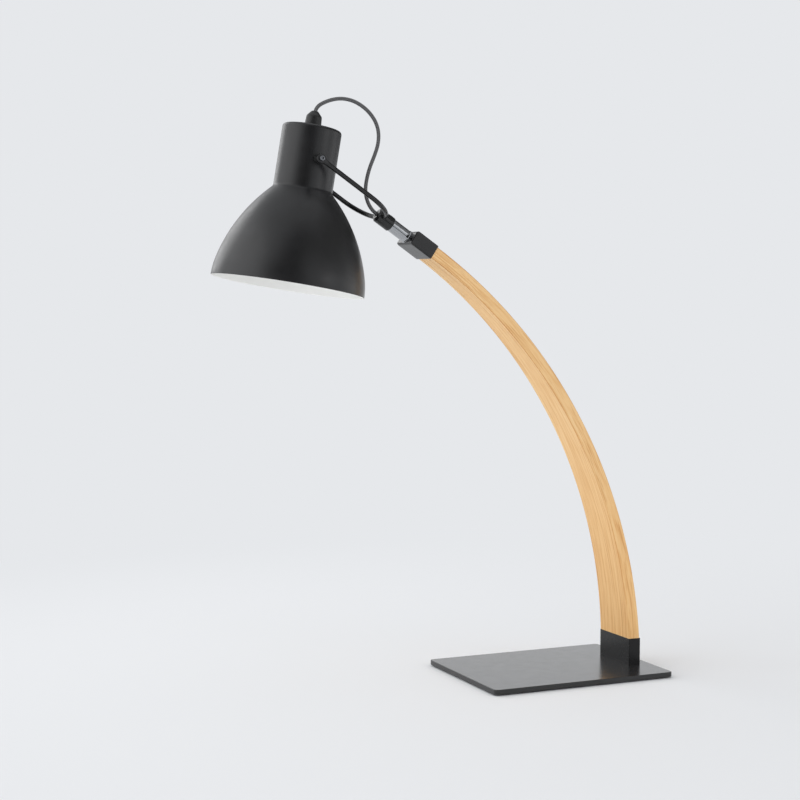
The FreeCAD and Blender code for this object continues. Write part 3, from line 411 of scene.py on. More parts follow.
def bright_chrome():
    """Polished chrome plate: a clear mirror with faint drawn lines along the tube."""
    made, tree, shader = surface("bright chrome", Metallic=1.0)
    where = add(tree, "TexCoord").outputs["Object"]
    drawn = add(tree, "Mapping", {"vector_type": "TEXTURE", "Rotation": (0.0, -SWEEP, 0.0),
                                  "Scale": (1.0, 1.0, 30.0)}, {"Vector": where})
    lines = add(tree, "TexNoise", {"Scale": 1 / (0.6 * MM), "Detail": 2.0},
                {"Vector": drawn.outputs["Vector"]}).outputs["Fac"]
    tint = add(tree, "ValToRGB", links={"Fac": lines}, stops=((0.3, "#A2A4A7"), (0.7, "#B0B2B5")))
    lay_on(tree, shader, tint.outputs["Color"], lines, (0.09, 0.15))
    return made


def zinc_plate():
    """Zinc plated steel fasteners: cool grey metal, slightly cloudy."""
    return coated("zinc plate", "#6E7073", "#808286", 0.26, 0.36, 0.5, 0.004, Metallic=1.0)


def moulded_nylon():
    """Moulded black nylon: a fine spark-eroded grain takes most of its shine."""
    return coated("moulded nylon", "#161617", "#1D1D1E", 0.44, 0.54, 0.45, 0.02, IOR=1.53)


def holder_moulding():
    """Black heat-resistant moulding of the lampholder: smooth, a little glossier than nylon."""
    return coated("heat-resistant moulding", "#131314", "#191919", 0.3, 0.38, 0.8, 0.008,
                  IOR=1.6)


def glazed_porcelain():
    """Glazed porcelain insulator: warm white under a clear wet-looking glaze."""
    return coated("glazed porcelain", "#E3DFD5", "#ECE9E1", 0.14, 0.22, 1.6, 0.01, IOR=1.5,
                  Coat_Weight=0.4, Coat_Roughness=0.08)


def rolled_brass():
    """Rolled brass contacts, tarnished a little in patches."""
    return coated("rolled brass", "#B48B48", "#CBA65E", 0.22, 0.34, 0.6, 0.004, Metallic=1.0)


def soft_rubber():
    """Moulded black rubber: dull, with a dusty skin."""
    return coated("black rubber", "#1B1B1B", "#232323", 0.7, 0.82, 0.6, 0.02, IOR=1.52)


def foam_sheet():
    """Closed-cell foam sheet under the plate: matte dark grey with cells of about a millimetre."""
    made, tree, shader = surface("foam sheet", IOR=1.5)
    where = add(tree, "TexCoord").outputs["Object"]
    cells = add(tree, "TexVoronoi", {"Scale": 1 / (1.1 * MM)}, {"Vector": where})
    haze = add(tree, "TexNoise", {"Scale": 1 / (6.0 * MM), "Detail": 2.0}, {"Vector": where})
    tint = add(tree, "ValToRGB", links={"Fac": cells.outputs["Distance"]},
               stops=((0.0, "#2E2E2F"), (0.8, "#202021")))
    lay_on(tree, shader, tint.outputs["Color"], haze.outputs["Fac"], (0.86, 0.95),
           cells.outputs["Distance"], 0.12)
    return made


def braided_sleeve():
    """Braided polyester sleeve on the cord: charcoal yarns that cross in a fine diagonal weave.

    Two waves wind opposite ways round the cord, and the weave's height is their product. The
    yarns are drawn 1.4 mm wide, twice the real width, so that they show.
    """
    made, tree, shader = surface("braided sleeve", IOR=1.5, Sheen_Weight=0.18,
                                 Sheen_Roughness=0.45)
    wound = add(tree, "UVMap", {"uv_map": "along_and_around"})
    split = add(tree, "SeparateXYZ", links={0: wound.outputs[0]})
    yarns, lay = 8, 7.0 * MM
    around = add(tree, "Math", {"operation": "MULTIPLY", 1: np.pi * yarns},
                 {0: split.outputs["Y"]})
    waves = []
    for hand in (1.0, -1.0):
        along = add(tree, "Math", {"operation": "MULTIPLY_ADD", 1: hand * np.pi * yarns / lay},
                    {0: split.outputs["X"], 2: around.outputs[0]})
        waves.append(add(tree, "Math", {"operation": "SINE"}, {0: along.outputs[0]}).outputs[0])
    weave = add(tree, "Math", {"operation": "MULTIPLY"}, dict(enumerate(waves)))
    height = add(tree, "MapRange", {"From Min": -1.0, "From Max": 1.0},
                 {"Value": weave.outputs[0]}).outputs["Result"]
    # painted shade and highlight: the yarns are darker in the weave's hollows and lighter on its
    # crossings
    tint = add(tree, "ValToRGB", links={"Fac": height},
               stops=((0.2, "#3A3A3B"), (0.5, "#525254"), (0.85, "#78787A")))
    lay_on(tree, shader, tint.outputs["Color"], height, (0.78, 0.66), height, 0.16)
    return made


COAT, PLATE_LIT_COAT, SOCKET_SHADED_COAT = powder_coat(), plate_lit_coat(), socket_shaded_coat()
LACQUER, ENAMEL = shade_lacquer(), white_enamel()
ASH, CHROME, ZINC = ash_wood(), bright_chrome(), zinc_plate()
NYLON, MOULDING = moulded_nylon(), holder_moulding()
PORCELAIN, BRASS = glazed_porcelain(), rolled_brass()
RUBBER, FOAM, BRAID = soft_rubber(), foam_sheet(), braided_sleeve()

# ---------------- the cord's free loop

LOOP_POINTS = (
    (-251.6, 0.2, 560.7), (-246.8, 0.5, 563.6), (-238.5, 0.9, 567.0), (-228.0, 1.2, 568.9),
    (-217.0, 1.4, 567.6), (-207.0, 1.4, 563.2), (-198.5, 1.2, 556.4), (-192.3, 0.9, 547.8),
    (-189.6, 0.5, 538.0), (-190.4, 0.0, 527.0), (-194.6, -0.4, 515.6), (-199.6, -0.8, 504.6),
    (-202.9, -0.9, 493.2), (-204.2, -0.8, 483.0), (-202.6, -0.5, 473.6),
)


def loop_line():
    """Points along the smooth curve that the loop's route controls, from grip to hub."""
    route = np.array((GRIP_MOUTH, GRIP_MOUTH + 5.6 * HEAD_AXIS, *LOOP_POINTS,
                      HUB_FRONT + 6.0 * TUBE_AXIS, HUB_FRONT)) * MM
    data = bpy.data.curves.new("loop_route", "CURVE")
    data.dimensions, data.resolution_u = "3D", 14
    spline = data.splines.new("NURBS")
    spline.points.add(len(route) - 1)
    spline.points.foreach_set("co", np.concatenate((route, np.ones((len(route), 1))), 1).ravel())
    spline.order_u, spline.use_endpoint_u = 3, True
    curve = bpy.data.objects.new("loop_route", data)
    bpy.context.scene.collection.objects.link(curve)
    bpy.context.view_layer.update()
    drawn = bpy.data.meshes.new_from_object(curve)
    line = np.empty(len(drawn.vertices) * 3)
    drawn.vertices.foreach_get("co", line)
    bpy.data.objects.remove(curve)
    return line.reshape(-1, 3)


def make_cord_loop():
    """Braided cord: circles about the loop's line, square to the way it runs at each point."""
    line = loop_line()
    ahead = unit(np.gradient(line, axis=0))
    side = unit(np.cross(ahead, (0.0, 1.0, 0.0)))
    other = np.cross(ahead, side)
    around = 20
    angle = np.arange(around)[:, None] * 2 * np.pi / around
    rings = line[:, None] + CORD_DIA / 2 * MM * (
        np.cos(angle) * side[:, None] + np.sin(angle) * other[:, None])
    thing = skin("cord_loop_braid", [rings / MM])
    run = np.concatenate(((0.0,), np.cumsum(np.linalg.norm(np.diff(line, axis=0), axis=1))))
    wind_uv(thing.data, line, run, side, other)
    thing.data.materials.append(BRAID)
    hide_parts("cord_loop")
    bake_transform(thing)
    return thing


def wind_uv(mesh, line, run, side, other):
    """UV map of the cord: metres along its line, and turns around it, without a torn seam.

    A corner's turn is counted on from its face's own middle, so no face spans the wrap.
    """
    corners = np.empty(len(mesh.loops), np.int32)
    mesh.loops.foreach_get("vertex_index", corners)
    spots = np.empty(len(mesh.vertices) * 3)
    mesh.vertices.foreach_get("co", spots)
    spots = spots.reshape(-1, 3)
    nearest = np.linalg.norm(spots[:, None] - line[None], axis=2).argmin(1)
    off = spots - line[nearest]
    turn = np.arctan2((off * other[nearest]).sum(1), (off * side[nearest]).sum(1)) / 2 / np.pi
    sizes = np.empty(len(mesh.polygons), np.int32)
    mesh.polygons.foreach_get("loop_total", sizes)
    owner = np.repeat(np.arange(len(sizes)), sizes)
    first = turn[corners[np.concatenate(((0,), np.cumsum(sizes)[:-1]))]][owner]
    wrapped = turn[corners] - np.round(turn[corners] - first)
    layer = mesh.uv_layers.new(name="along_and_around")
    layer.data.foreach_set("uv", np.stack((run[nearest][corners], wrapped), 1).ravel())


# ---------------- base and foot


def make_base():
    """Steel plate, foot socket and inlet bush: their rings step over softly broken edges."""
    half, corner, pad, inset = (100.0, 75.0), 4.0, 1.0, 30.0
    edge = rounded(((inset, pad, 0), (0, pad, 0.3), (0, PLATE_TOP, 0.5), (inset, PLATE_TOP, 0)))
    plate = box_rows(*half, corner, edge[:, (0, 0, 1)])
    fit("base_plate", [LAMP], [plate], "stand", "black_coat", PLATE_LIT_COAT)
    corner, soft = 0.7, 0.35
    lip = rounded(((0, PLATE_TOP, 0), (0, SOCKET_TOP, soft), (SOCKET_WALL, SOCKET_TOP, soft),
                   (SOCKET_WALL, SOCKET_FLOOR, 0)))
    socket = box_rows(*SOCKET_HALF, corner, lip[:, (0, 0, 1)])
    place = seat((SOCKET_X, 0, 0), (0, 0, 1))
    # painted shade: the socket's coat is a darker copy of the powder coat
    fit("foot_socket", [place], [socket], "stand", "black_coat", SOCKET_SHADED_COAT)
    hole, waist, flange, deep, proud, inlet_high = 2.2, 3.4, 5.0, -1.0, 1.6, 13.0
    inlet = seat((SOCKET_X + SOCKET_HALF[0], 0, PLATE_TOP + inlet_high), (1, 0, 0))
    bush = lathe(rounded(((hole, deep, 0), (waist, deep, 0), (waist, 0, 0), (flange, 0, 0.1),
                          (flange, proud, 1.0), (hole, proud, 0.5), (hole, deep + PLAY, 0))), 48)
    fit("cord_grommet", [inlet], [bush], "stand", "black_rubber", RUBBER, loop=True)


# ---------------- wooden arm


def arm_ring(edge=0.8, slot=SLOT_HALF, steps=5):
    """Ring table of the arm's section, counter-clockwise from the slot in its convex face.

    Columns: share of the half thickness and an offset, share of the half width and an offset.
    Each corner is a quarter circle of radius edge.
    """
    angle = np.linspace(0, np.pi / 2, steps)
    out, over = edge * np.cos(angle) - edge, edge * np.sin(angle) - edge
    one = np.ones(steps)
    corners = [np.stack((one, out, one, over), 1), np.stack((-one, -out, one, over), 1)[::-1],
               np.stack((-one, -out, -one, -over), 1), np.stack((one, out, -one, -over), 1)[::-1]]
    return np.concatenate((((1, 0, 0, slot),), *corners, ((1, 0, 0, -slot), (0, -slot, 0, -slot),
                                                          (0, -slot, 0, slot))))


def arc_rows(ring, low, rings=170):
    """Carry a section along the arm's arc, from height low over the plate to the mouth.

    A point at radius r starts where r sin(angle) is low, and the rings draw closer towards the
    mouth. The half width tapers evenly with height, from the foot to the mouth's lowest corner.
    """
    crowding = 1.25
    through = ring[:, 0] * ARM_THICK / 2 + ring[:, 1]
    radius = ARM_RADIUS + through
    start = np.arcsin(low / radius)
    share = 1 - (1 - np.linspace(0, 1, rings)[:, None]) ** crowding
    angle = start + share * (SWEEP - start)
    x = ARM_CENTRE[0] + radius * np.cos(angle)
    z = ARM_CENTRE[2] + radius * np.sin(angle)
    half_wide = np.interp(z, (SOCKET_TOP, ARM_MOUTH_LOW), (ARM_FOOT_WIDE / 2, ARM_MOUTH_WIDE / 2))
    y = ring[:, 2] * half_wide + ring[:, 3]
    grain = np.stack((ARM_RADIUS * angle, y, np.broadcast_to(through, y.shape)), axis=-1)
    return np.stack((x, y, z), axis=-1), grain


def tongue_rows(ring, origin, out, along, half, heights, run):
    """Carry a section straight along one direction, for the arm's tongues.

    A point is origin + height * along + through * out, moved sideways by y. The grain starts
    at run along the arm.
    """
    through = ring[:, 0] * half[0] + ring[:, 1]
    y = ring[:, 2] * half[1] + ring[:, 3]
    heights = np.asarray(heights, float)[:, None]
    rows = (origin + heights[..., None] * along + through[:, None] * out
            + y[:, None] * np.array((0.0, 1.0, 0.0)))
    grain = np.stack(np.broadcast_arrays(run + heights, y, through), axis=-1)
    return rows, grain


def make_arm():
    """Wooden arm: foot tongue, arc and cap tongue as one run of rings, and its inlaid strip.

    The arris field is 1 at the middle of each corner and 0 at its ends, times a weight that
    grows with height: it darkens the wood along the arm's edges, more towards the top. The
    strip's grain comes from another place in the wood.
    """
    ring = arm_ring()
    foot_half, head_half = ([side - wall - PLAY for side in sides] for sides, wall in
                            ((SOCKET_HALF, SOCKET_WALL), (CAP_HALF, CAP_WALL)))
    foot = tongue_rows(ring, np.array((SOCKET_X, 0.0, 0.0)), np.array((1.0, 0.0, 0.0)),
                       np.array((0.0, 0.0, 1.0)), foot_half, (SOCKET_FLOOR + LOOSE, SOCKET_TOP),
                       -PLATE_TOP)
    arc = arc_rows(ring, SOCKET_HIGH)
    head = tongue_rows(ring, MOUTH, OUTWARD, TUBE_AXIS, head_half, (0.0, CAP_DEEP - PLAY),
                       ARM_RADIUS * SWEEP)
    rows, grain = (np.concatenate(parts) for parts in zip(foot, arc, head))
    # the wood is darkened along the arm's edges, more towards the top
    darkening_heights, darkening_weight = (90.0, 330.0), (0.2, 1.0)
    corner = np.sin(np.linspace(0, np.pi, 5))
    edge_darkening = np.zeros(rows.shape)
    edge_darkening[..., 0] = np.concatenate(((0,), np.tile(corner, 4), np.zeros(3)))
    edge_darkening *= np.interp(rows[..., 2:], darkening_heights, darkening_weight)
    fit("arm", [LAMP], [rows], "stand", "ash", ASH, fields={"grain": grain, "arris": edge_darkening})
    top, low, bevel, half = ARM_THICK / 2, 2.95, 0.2, SLOT_HALF - LOOSE
    inlay = np.array([(0, through, 0, across) for through, across in
                      ((top, bevel - half), (top, half - bevel), (top - bevel, half),
                       (low, half), (low, -half), (top - bevel, -half))])
    rows, grain = arc_rows(inlay, SOCKET_HIGH + LOOSE)
    elsewhere = (35.0, 9.0, 4.0)
    fit("channel_strip", [LAMP], [rows], "stand", "ash", ASH, fields={"grain": grain + elsewhere})


# ---------------- cap, tube and sleeve


def make_cap():
    """Cap: rings out of its cavity, over the lip, along the block and round its nose to the bore.

    The nose is a quarter circle across x and a smaller one across y. The last rings run in to
    the bore, straight towards its axis.
    """
    corner, nose, ease, soft, flare, web = 1.1, 3.0, 1.3, 0.4, 0.25, 0.5
    lip = ((CAP_WALL, CAP_DEEP), (CAP_WALL, soft), (CAP_WALL - soft, 0), (soft, 0),
           (soft / 4, soft / 4), (0, soft))
    bend = np.linspace(0, np.pi / 2, 13)
    nose_in, nose_high = nose * (1 - np.cos(bend)), CAP_LONG - nose * (1 - np.sin(bend))
    side_in = ease - np.sqrt(ease ** 2 - np.clip(nose_high - CAP_LONG + ease, 0, ease) ** 2)
    block = box_rows(*CAP_HALF, corner, np.concatenate((
        np.array(lip)[:, (0, 0, 1)], np.stack((nose_in, side_in, nose_high), axis=1))))
    way = unit(block[-1][:, :2])
    bore = np.stack([np.concatenate((way * radius, np.full((len(way), 1), high)), axis=1)
                     for radius, high in ((BORE + flare, CAP_LONG), (BORE, CAP_LONG - flare),
                                          (BORE, CAP_DEEP + web))])
    fit("arm_cap", [CAP], [np.concatenate((block, bore))], "stand", "black_coat", COAT)


def socket_screw(outline, top, floor, flats, around=36):
    """A screw turned about z from its outline, then its hexagon socket, from top to floor.

    The socket starts wider than its corners, and lathe cuts it back to flats across.
    """
    wide = 9.0
    socket = lathe(((wide, top), (wide, floor)), around, flats)
    return np.concatenate((lathe(rounded(outline), around), socket))


def make_cap_screws():
    """Two domed socket screws, turned about lines square to the cap's upper side."""
    face, shank, head, recess, along, aside = CAP_HALF[0], 1.3, 2.5, 1.0, 8.0, 8.5
    tip, top = face - 6.0, face + 1.3
    screw = socket_screw(((CORE, tip, 0), (shank, tip, 0), (shank, face, 0), (head, face, 0.1),
                          (head - 0.2, top, 1.0), (recess, top, 0.1), (recess, top - PLAY, 0)),
                         top - PLAY, face + 0.4, flats=1.5)
    places = [seat(MOUTH + along * TUBE_AXIS + (0, y, 0), OUTWARD) for y in (-aside, aside)]
    fit("cap_screws", places, [screw], "stand", "black_coat", COAT)


def make_tube():
    """Chrome tube and the sleeve over it, both turned about the tube's axis.

    The tube ends at the hub's floor, and the sleeve fills the length between cap and hub.
    """
    inner, low, high = 3.5, CAP_DEEP + PLAY, REACH + HUB_FLOOR - PLAY
    tube = lathe(rounded(((inner, low, 0), (TUBE_RADIUS, low, 0.2), (TUBE_RADIUS, high, 0.3),
                          (inner, high, 0))))
    fit("swivel_tube", [CAP], [tube], "stand", "chrome", CHROME, loop=True)
    flare, outer, low, high = 6.9, 6.4, CAP_LONG, REACH + HUB_BACK - PLAY
    sleeve = lathe(rounded(((BORE, low, 0), (flare, low, 0.1), (flare, low + 0.5, 0.3),
                            (outer, low + 1.0, 0.3), (outer, high, 0.4), (BORE, high, 0))), 96)
    fit("tube_sleeve", [CAP], [sleeve], "stand", "chrome", CHROME, loop=True)


# ---------------- yoke


def make_hub():
    """Turned hub with a rounded nose, its bush and the small set screw in its upper side."""
    outer, nose, shoulder, pocket, step = 7.2, 5.2, HUB_FACE - 2.0, 3.25, HUB_FACE - 2.4
    hub = lathe(rounded(((BORE, HUB_BACK, 0), (outer, HUB_BACK, 0.5), (outer, shoulder, 0.9),
                         (nose, HUB_FACE, 0.5), (pocket, HUB_FACE, 0.1), (pocket, step, 0),
                         (CORD_HOLE, step, 0), (CORD_HOLE, HUB_FLOOR, 0),
                         (BORE, HUB_FLOOR, 0))), 72)
    fit("hub", [YOKE], [hub], "yoke", "black_coat", COAT, loop=True)
    bush_out = pocket - LOOSE
    bush = lathe(rounded(((CORD_HOLE, step, 0), (bush_out, step, 0), (bush_out, HUB_FACE, 0.2),
                          (CORD_HOLE, HUB_FACE, 0.25), (CORD_HOLE, step + PLAY, 0))), 40)
    fit("cord_bush", [YOKE], [bush], "yoke", "black_plastic", NYLON, loop=True)
    shank, point, recess, tip, top = 1.5, 0.75, 1.0, BORE - 0.5, outer + 0.16
    screw = socket_screw(((CORE, tip, 0), (point, tip, 0), (point, BORE, 0), (shank, BORE, 0),
                          (shank, top, 0.2), (recess, top, 0)), top, top - 0.96, flats=1.5)
    place = seat(PIVOT + (HUB_BACK + 4.0) * TUBE_AXIS, OUTWARD)
    fit("swivel_screw", [place], [screw], "yoke", "plated_steel", ZINC)


def rod_rows(hand):
    """Rings of one yoke rod: from the hub round a quarter bend, then up into a flat round eye.

    Each ring is |x / a| ^ p + |y / b| ^ p = 1. From rod to eye, a grows from the rod's radius to
    the eye's circle, p from 2 to 5, and b from the rod's radius to half the eye's thickness.
    """
    eye, bend, cross = 4.5, 29.0, HUB_FACE - 5.0
    widen, flatten, merged, waist = -9.0, -8.0, -3.5, 0.62 * eye
    turn = np.linspace(0, np.pi / 2, 26)
    share = np.linspace(-1.2, 1, 27)
    crown = np.sin(share * np.pi / 2)
    crown = np.where(share < -1, -2 - crown, crown) * eye
    height = np.concatenate((np.linspace(cross + bend, widen, 14)[1:], (-7.8, -6.8, -6.0), crown))
    z = np.concatenate(((cross, cross), cross + bend * (1 - np.cos(turn)), height))
    y = np.concatenate(((4.4, 5.3), SPREAD - bend + bend * np.sin(turn),
                        np.full(len(height), SPREAD)))
    lean = np.concatenate((np.full(2, np.pi / 2), np.pi / 2 - turn, np.zeros(len(height))))
    disc = np.sqrt(np.clip(eye ** 2 - z ** 2, 0.003, None))
    neck = ROD + (waist - ROD) * np.interp(z, (widen, merged), (0, 1)) ** 2
    wide = np.where(z > 0, disc, np.maximum(neck, disc))
    flat = np.interp(z, (flatten, merged), (0, 1))
    power, thick = 2 + 3 * flat, ROD + (EYE_HALF - ROD) * flat
    angle = np.arange(32) * 2 * np.pi / 32
    circle = np.stack((np.cos(angle), np.sin(angle)))[:, None]
    across, through = np.sign(circle) * np.abs(circle) ** (2 / power[:, None])
    out = thick[:, None] * through
    return np.stack((wide[:, None] * across, hand * (y[:, None] + out * np.cos(lean)[:, None]),
                     z[:, None] - out * np.sin(lean)[:, None]), axis=-1)


def make_rods():
    """Both yoke rods, one the mirror image of the other."""
    for name, hand in (("yoke_arm_left", 1), ("yoke_arm_right", -1)):
        fit(name, [YOKE], [rod_rows(hand)], "yoke", "black_coat", COAT)


# ---------------- tilt pivots


def make_pivots():
    """Both sides' spacers, washers, socket screws and nuts, turned about the tilt axis."""
    sides = [seat(PIVOT, (0, hand, 0), side=(0, 0, 1)) for hand in (1, -1)]
    hole, shank, disc, stop = 1.6, 1.5, 0.5, SPREAD + EYE_HALF
    low, high = NECK - 0.3, SPREAD - EYE_HALF - disc
    spacer = lathe(rounded(((hole, low, 0), (4.0, low, 0), (4.0, high, 0.25), (hole, high, 0))), 48)
    fit("pivot_spacers", sides, [spacer], "head", "black_plastic", NYLON, loop=True)
    washers = [lathe(rounded(((hole, near, 0), (4.1, near, 0.12), (4.1, near + disc, 0.12),
                              (hole, near + disc, 0)), 4), 48) for near in (high, stop)]
    fit("pivot_washers", sides, washers, "head", "black_coat", COAT, loop=True)
    head, tip, seated, top = 2.4, 23.9, stop + disc, 40.3
    screw = socket_screw(((CORE, tip, 0), (shank, tip, 0.3), (shank, seated, 0), (head, seated, 0),
                          (head, top, 0.7), (shank, top, 0)), top, top - 1.7, 2.5, 48)
    fit("pivot_screws", sides, [screw], "head", "plated_steel", ZINC)
    low, high, bevel, face, corner = 24.51, 26.91, 0.35, 2.7, 3.3
    nut = lathe(((hole, low), (face, low), (corner, low + bevel), (corner, high - bevel),
                 (face, high), (hole, high)), 48, flats=5.5)
    fit("pivot_nuts", sides, [nut], "head", "plated_steel", ZINC, loop=True)


# ---------------- shade


def shade_profile():
    """Outside of the shade from rim to top hole: two tangent arcs, a soft crease and the neck.

    The lower arc starts upright at the rim and turns 14 degrees. The upper arc carries on to the
    neck's foot, so its radius is chord ^ 2 / 2 over the chord's part along the shared radius.
    """
    low_turn, low_radius, ease = np.radians(14.0), 72.0, 3.0
    foot, low_centre = np.array((NECK, NECK_FOOT)), np.array((RIM - low_radius, RIM_LOW))
    inwards = -np.array((np.cos(low_turn), np.sin(low_turn)))
    joint = low_centre - low_radius * inwards
    chord = foot - joint
    up_radius = chord @ chord / 2 / (chord @ inwards)
    centre = joint + up_radius * inwards
    last = np.arctan2(*(foot - centre)[::-1])
    turn = np.linspace(0, low_turn, 10)[:-1]
    lower = low_centre + low_radius * np.stack((np.cos(turn), np.sin(turn)), axis=1)
    turn = np.linspace(low_turn, last, 46)
    upper = centre + up_radius * np.stack((np.cos(turn), np.sin(turn)), axis=1)
    start = upper[-1] - ease * unit(upper[-1] - upper[-2])
    keep = upper[upper[:, 1] < start[1] - 0.5]
    crease = rounded(((*start, 0), (*foot, 5.0), (NECK, NECK_TOP, 3.0), (BORE, NECK_TOP, 0)), 9)
    return np.concatenate((lower, keep, crease))


def make_shade():
    """Shade: its outside, then its inside one wall in along the profile's own normals.

    The lip between them is round, with half the wall as its radius.
    """
    outside = shade_profile()
    ahead = unit(np.gradient(outside, axis=0))
    inside = outside + SHADE_WALL * np.stack((-ahead[:, 1], ahead[:, 0]), axis=1)
    inside[-1] = (BORE, NECK_TOP - SHADE_WALL)
    turn = np.linspace(1.4, 0.1, 5)
    lip = SHADE_WALL / 2 * np.stack((np.cos(turn), -np.sin(turn)), axis=1)
    middle = (RIM - SHADE_WALL / 2, RIM_LOW + SHADE_WALL / 2)
    profile = np.concatenate((lip + middle, outside[1:], inside[:0:-1],
                              lip[::-1] * (-1, 1) + middle))
    split = len(lip) + len(outside) - 2
    fit("shade", [HEAD], [lathe(profile, 160)], "head", "shade_coat", LACQUER, ENAMEL, loop=True,
        inner=split)


# ---------------- grip and lampholder


def make_grip():
    """Domed cord grip: a slight taper, a full dome and a flared mouth for the cord."""
    foot, shoulder, nose, flare, top, floor = 8.1, (7.3, 42.6), 3.1, 2.6, 47.4, 38.8
    grip = lathe(rounded(((BORE, NECK_TOP, 0), (foot, NECK_TOP, 0.4), (*shoulder, 3.2),
                          (nose, top, 0.6), (flare, top, 0.2),
                          (CORD_HOLE + LOOSE, GRIP_THROAT, 0.6), (CORD_HOLE, floor, 0),
                          (BORE, floor, 0)), 9), 64)
    fit("cord_grip", [HEAD], [grip], "head", "black_plastic", NYLON, loop=True)


def make_lampholder():
    """Lampholder: turned cap, skirt and insulator, a rolled screw shell and a centre contact."""
    outer, wall, seam, crown, lip_low, mouth = 20.0, 1.6, 10.7, 27.7, -21.3, 14.6
    cap = lathe(rounded(((BORE, crown, 0), (12.0, crown, 1.5), (outer, 16.0, 3.0),
                         (outer, seam, 0.3), (16.7, seam, 0), (16.7, 14.4, 1.0),
                         (10.4, 25.3, 1.0), (BORE, 25.3, 0))), 96)
    fit("holder_cap", [HEAD], [cap], "head", "holder_plastic", MOULDING, loop=True)
    inner, lip_high = outer - wall, lip_low + wall
    skirt = lathe(rounded(((inner, seam, 0), (outer, seam, 0.3), (outer, lip_low, 0.8),
                           (mouth, lip_low, 0.5), (mouth, lip_high, 0.3), (inner, lip_high, 0))),
                  96)
    fit("holder_shell", [HEAD], [skirt], "head", "holder_plastic", MOULDING, loop=True)
    well, edge, low = 13.95, inner - PLAY, -10.0
    insert = lathe(rounded(((CORE, 0.0, 0), (well, 0.0, 0), (well, low, 0.4), (edge, low, 0.4),
                            (edge, seam, 0.3), (CORE, seam, 0))), 96)
    fit("holder_insert", [HEAD], [insert], "head", "holder_ceramic", PORCELAIN)
    fit("screw_shell", [HEAD], [thread_rows()], "head", "contact_brass", BRASS, loop=True)
    wide, spring, tip, low = 3.0, -1.0, 1.5, -2.0
    contact = lathe(rounded(((CORE, 0.0, 0), (wide, 0.0, 0), (wide, spring, 0.3), (tip, low, 0.5),
                             (CORE, low, 0)), 5), 40)
    fit("centre_contact", [HEAD], [contact], "head", "contact_brass", BRASS)


def thread_rows(pitch=3.62, depth=0.35, wall=0.25, around=72):
    """Rolled screw shell: mean radius + depth sin(2 pi height / pitch - angle), both sides."""
    mean, top, low = 13.35, -2.4, -20.4
    height = np.linspace(top, low, 60)[:, None]
    angle = np.arange(around) * 2 * np.pi / around
    wave = mean + depth * np.sin(2 * np.pi * height / pitch - angle)
    both = [np.stack((radius * np.cos(angle), radius * np.sin(angle),
                      np.broadcast_to(height, radius.shape)), axis=-1)
            for radius in (wave + wall / 2, wave - wall / 2)]
    return np.concatenate((both[0], both[1][::-1]))


# ---------------- CAD nodes that stay

KEPT = {"base_pad": FOAM, "foot_screws": ZINC, "arm_lead": MOULDING, "nipple": ZINC,
        "nipple_nut": ZINC, "holder_lead": MOULDING}


def dress_kept_nodes():
    """Pieces whose CAD shape is the real one, nearly all hidden, get their finish alone."""
    for name, finish in KEPT.items():
        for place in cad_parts[name].material_slots:
            place.material = finish


# ---------------- studio

PAPER = "#E6E8EB"


def look_rays(tree):
    """The kinds of ray, and 1 for a ray that looks: the largest of camera, glossy and glass."""
    kinds = add(tree, "LightPath").outputs
    looks = kinds["Is Camera Ray"]
    for kind in ("Is Glossy Ray", "Is Transmission Ray"):
        looks = add(tree, "Math", {"operation": "MAXIMUM"}, {0: looks, 1: kinds[kind]}).outputs[0]
    return kinds, looks


def paper_world():
    """Pale paper all round as seen, mirrored or seen through; a dimmer even light on surfaces."""
    world = bpy.data.worlds.new("paper studio")
    bpy.context.scene.world = world
    world.use_nodes = True
    tree = world.node_tree
    tree.nodes.clear()
    looks = look_rays(tree)[1]
    even = add(tree, "Background", {"Color": colour("#FFFFFF"), "Strength": 0.8})
    paper = add(tree, "Background", {"Color": colour(PAPER), "Strength": 1.0})
    mixed = add(tree, "MixShader", links={0: looks, 1: even.outputs[0], 2: paper.outputs[0]})
    add(tree, "OutputWorld", links={"Surface": mixed.outputs[0]})


def card(name, centre, across, up, **sight):
    """A flat card between centre +/- across +/- up, in metres; sight sets what rays see it."""
    centre, across, up = (np.array(part, float) for part in (centre, across, up))
    spots = [centre - across - up, centre + across - up, centre + across + up, centre - across + up]
    mesh = bpy.data.meshes.new(name)
    mesh.from_pydata(np.array(spots).tolist(), [], [(0, 1, 2, 3)])
    thing = bpy.data.objects.new(name, mesh)
    bpy.context.scene.collection.objects.link(thing)
    for field, state in sight.items():
        setattr(thing, field, state)
    return thing


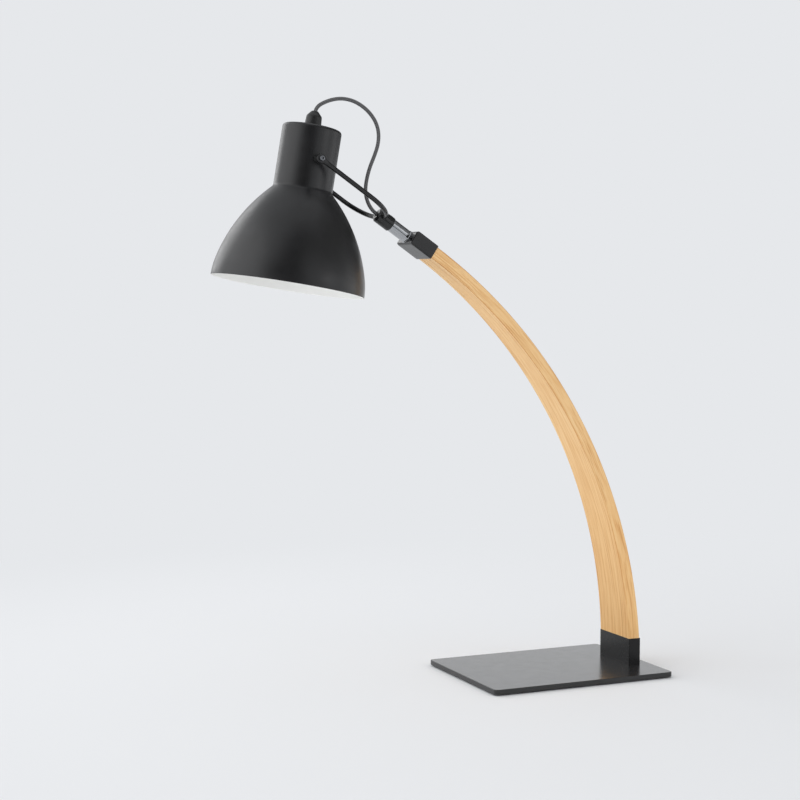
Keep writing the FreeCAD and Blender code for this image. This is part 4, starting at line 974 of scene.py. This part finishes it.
def paper_floor():
    """Pale paper floor: it takes the lamp's shadow and fades into the paper backdrop.

    Surfaces get a little more light from it than it shows, as from a studio's lit floor.
    """
    reach, sink, fade_from, fade_to, lift = 6.0, -0.0002, 0.3, 1.0, 0.18
    floor = card("paper_floor", (-0.05, 0, sink), (reach, 0, 0), (0, reach, 0))
    made, tree, shader = surface("studio paper", Base_Color=colour(PAPER), Roughness=0.9, IOR=1.3)
    where = add(tree, "TexCoord").outputs["Object"]
    away = add(tree, "VectorMath", {"operation": "LENGTH"}, {0: where})
    fade = add(tree, "MapRange", {"interpolation_type": "SMOOTHSTEP", "From Min": fade_from,
                                  "From Max": fade_to}, {"Value": away.outputs["Value"]})
    kinds, looks = look_rays(tree)
    share = add(tree, "Math", {"operation": "MULTIPLY"}, {0: fade.outputs["Result"], 1: looks})
    paper = add(tree, "Emission", {"Color": colour(PAPER), "Strength": 1.0})
    mixed = add(tree, "MixShader", links={0: share.outputs[0], 1: shader.outputs[0],
                                          2: paper.outputs[0]})
    bounce = add(tree, "Math", {"operation": "MULTIPLY", 1: lift}, {0: kinds["Is Diffuse Ray"]})
    fill = add(tree, "Emission", {"Color": colour("#FFFFFF")}, {"Strength": bounce.outputs[0]})
    both = add(tree, "AddShader", links={0: mixed.outputs[0], 1: fill.outputs[0]})
    tree.links.new(both.outputs[0], tree.get_output_node("ALL").inputs["Surface"])
    floor.data.materials.append(made)


def black_flags():
    """Black and grey cards that only reflections see: they keep the black coats dark."""
    for name, shade, centre, across, up in (
            ("flag_front", "#141414", (-1.18, -2.1, 0.9), (1.05, -0.47, 0), (0, 0, 1.3)),
            ("flag_top", "#141414", (-0.28, -2.28, 3.3), (1.3, 0, 0), (0, 0, 1.1)),
            ("flag_right", "#8A8A8A", (1.71, -0.94, 2.2), (0.64, 1.36, 0), (0, 0, 1.25)),
            ("flag_far", "#5A5A5A", (0.35, 0.49, 0.96), (-0.36, 0.46, 0), (0, 0, 0.44)),
            ("flag_floor", "#303030", (0.1, -1.1, 0.1), (0.4, 0.09, 0), (0, 0, 0.09))):
        flag = card(name, centre, across, up, visible_camera=False, visible_diffuse=False,
                    visible_shadow=False, visible_transmission=False)
        made = surface(name.replace("_", " "), Base_Color=colour(shade), Roughness=1.0)[0]
        flag.data.materials.append(made)


def softbox(name, place, target, size, glow):
    """A square softbox at place that faces target, with a surface as bright as glow whites."""
    data = bpy.data.lights.new(name, "AREA")
    data.shape, data.size, data.energy = "SQUARE", size, glow * np.pi * size * size
    light = bpy.data.objects.new(name, data)
    back = unit(np.array(place, float) - np.array(target, float))
    across = unit(np.cross((0.0, 0.0, 1.0), back))
    pose = np.eye(4)
    pose[:3, :] = np.stack((across, np.cross(back, across), back, np.array(place, float)), axis=1)
    light.matrix_world = Matrix(pose.tolist())
    light.visible_camera = False
    bpy.context.scene.collection.objects.link(light)


def light_studio():
    """Paper all round, the flags, and softboxes that stand round the lamp and face it."""
    paper_world()
    paper_floor()
    black_flags()
    for box in (
            ("softbox_left", (-2.4, 0.3, 1.35), (-0.1, 0, 0.35), 2.7, 0.95),
            ("softbox_behind", (-1.0, 2.05, 1.25), (-0.28, 0, 0.45), 1.3, 1.9),
            ("softbox_back", (1.1, 2.0, 0.62), (0, 0, 0.1), 1.6, 0.35),
            ("softbox_right", (1.12, -1.5, 0.75), (-0.1, 0, 0.3), 0.75, 1.0),
            ("softbox_side", (1.75, -0.2, 0.42), (-0.2, 0, 0.42), 0.8, 0.6),
            ("softbox_low", (-1.4, -0.9, 0.2), (-0.1, 0, 0.38), 0.9, 0.7)):
        softbox(*box)
    bpy.context.scene.view_settings.view_transform = "Standard"


aim_camera()
make_cord_loop()
make_base()
make_arm()
make_cap()
make_cap_screws()
make_tube()
make_hub()
make_rods()
make_pivots()
make_shade()
make_grip()
make_lampholder()
dress_kept_nodes()
light_studio()
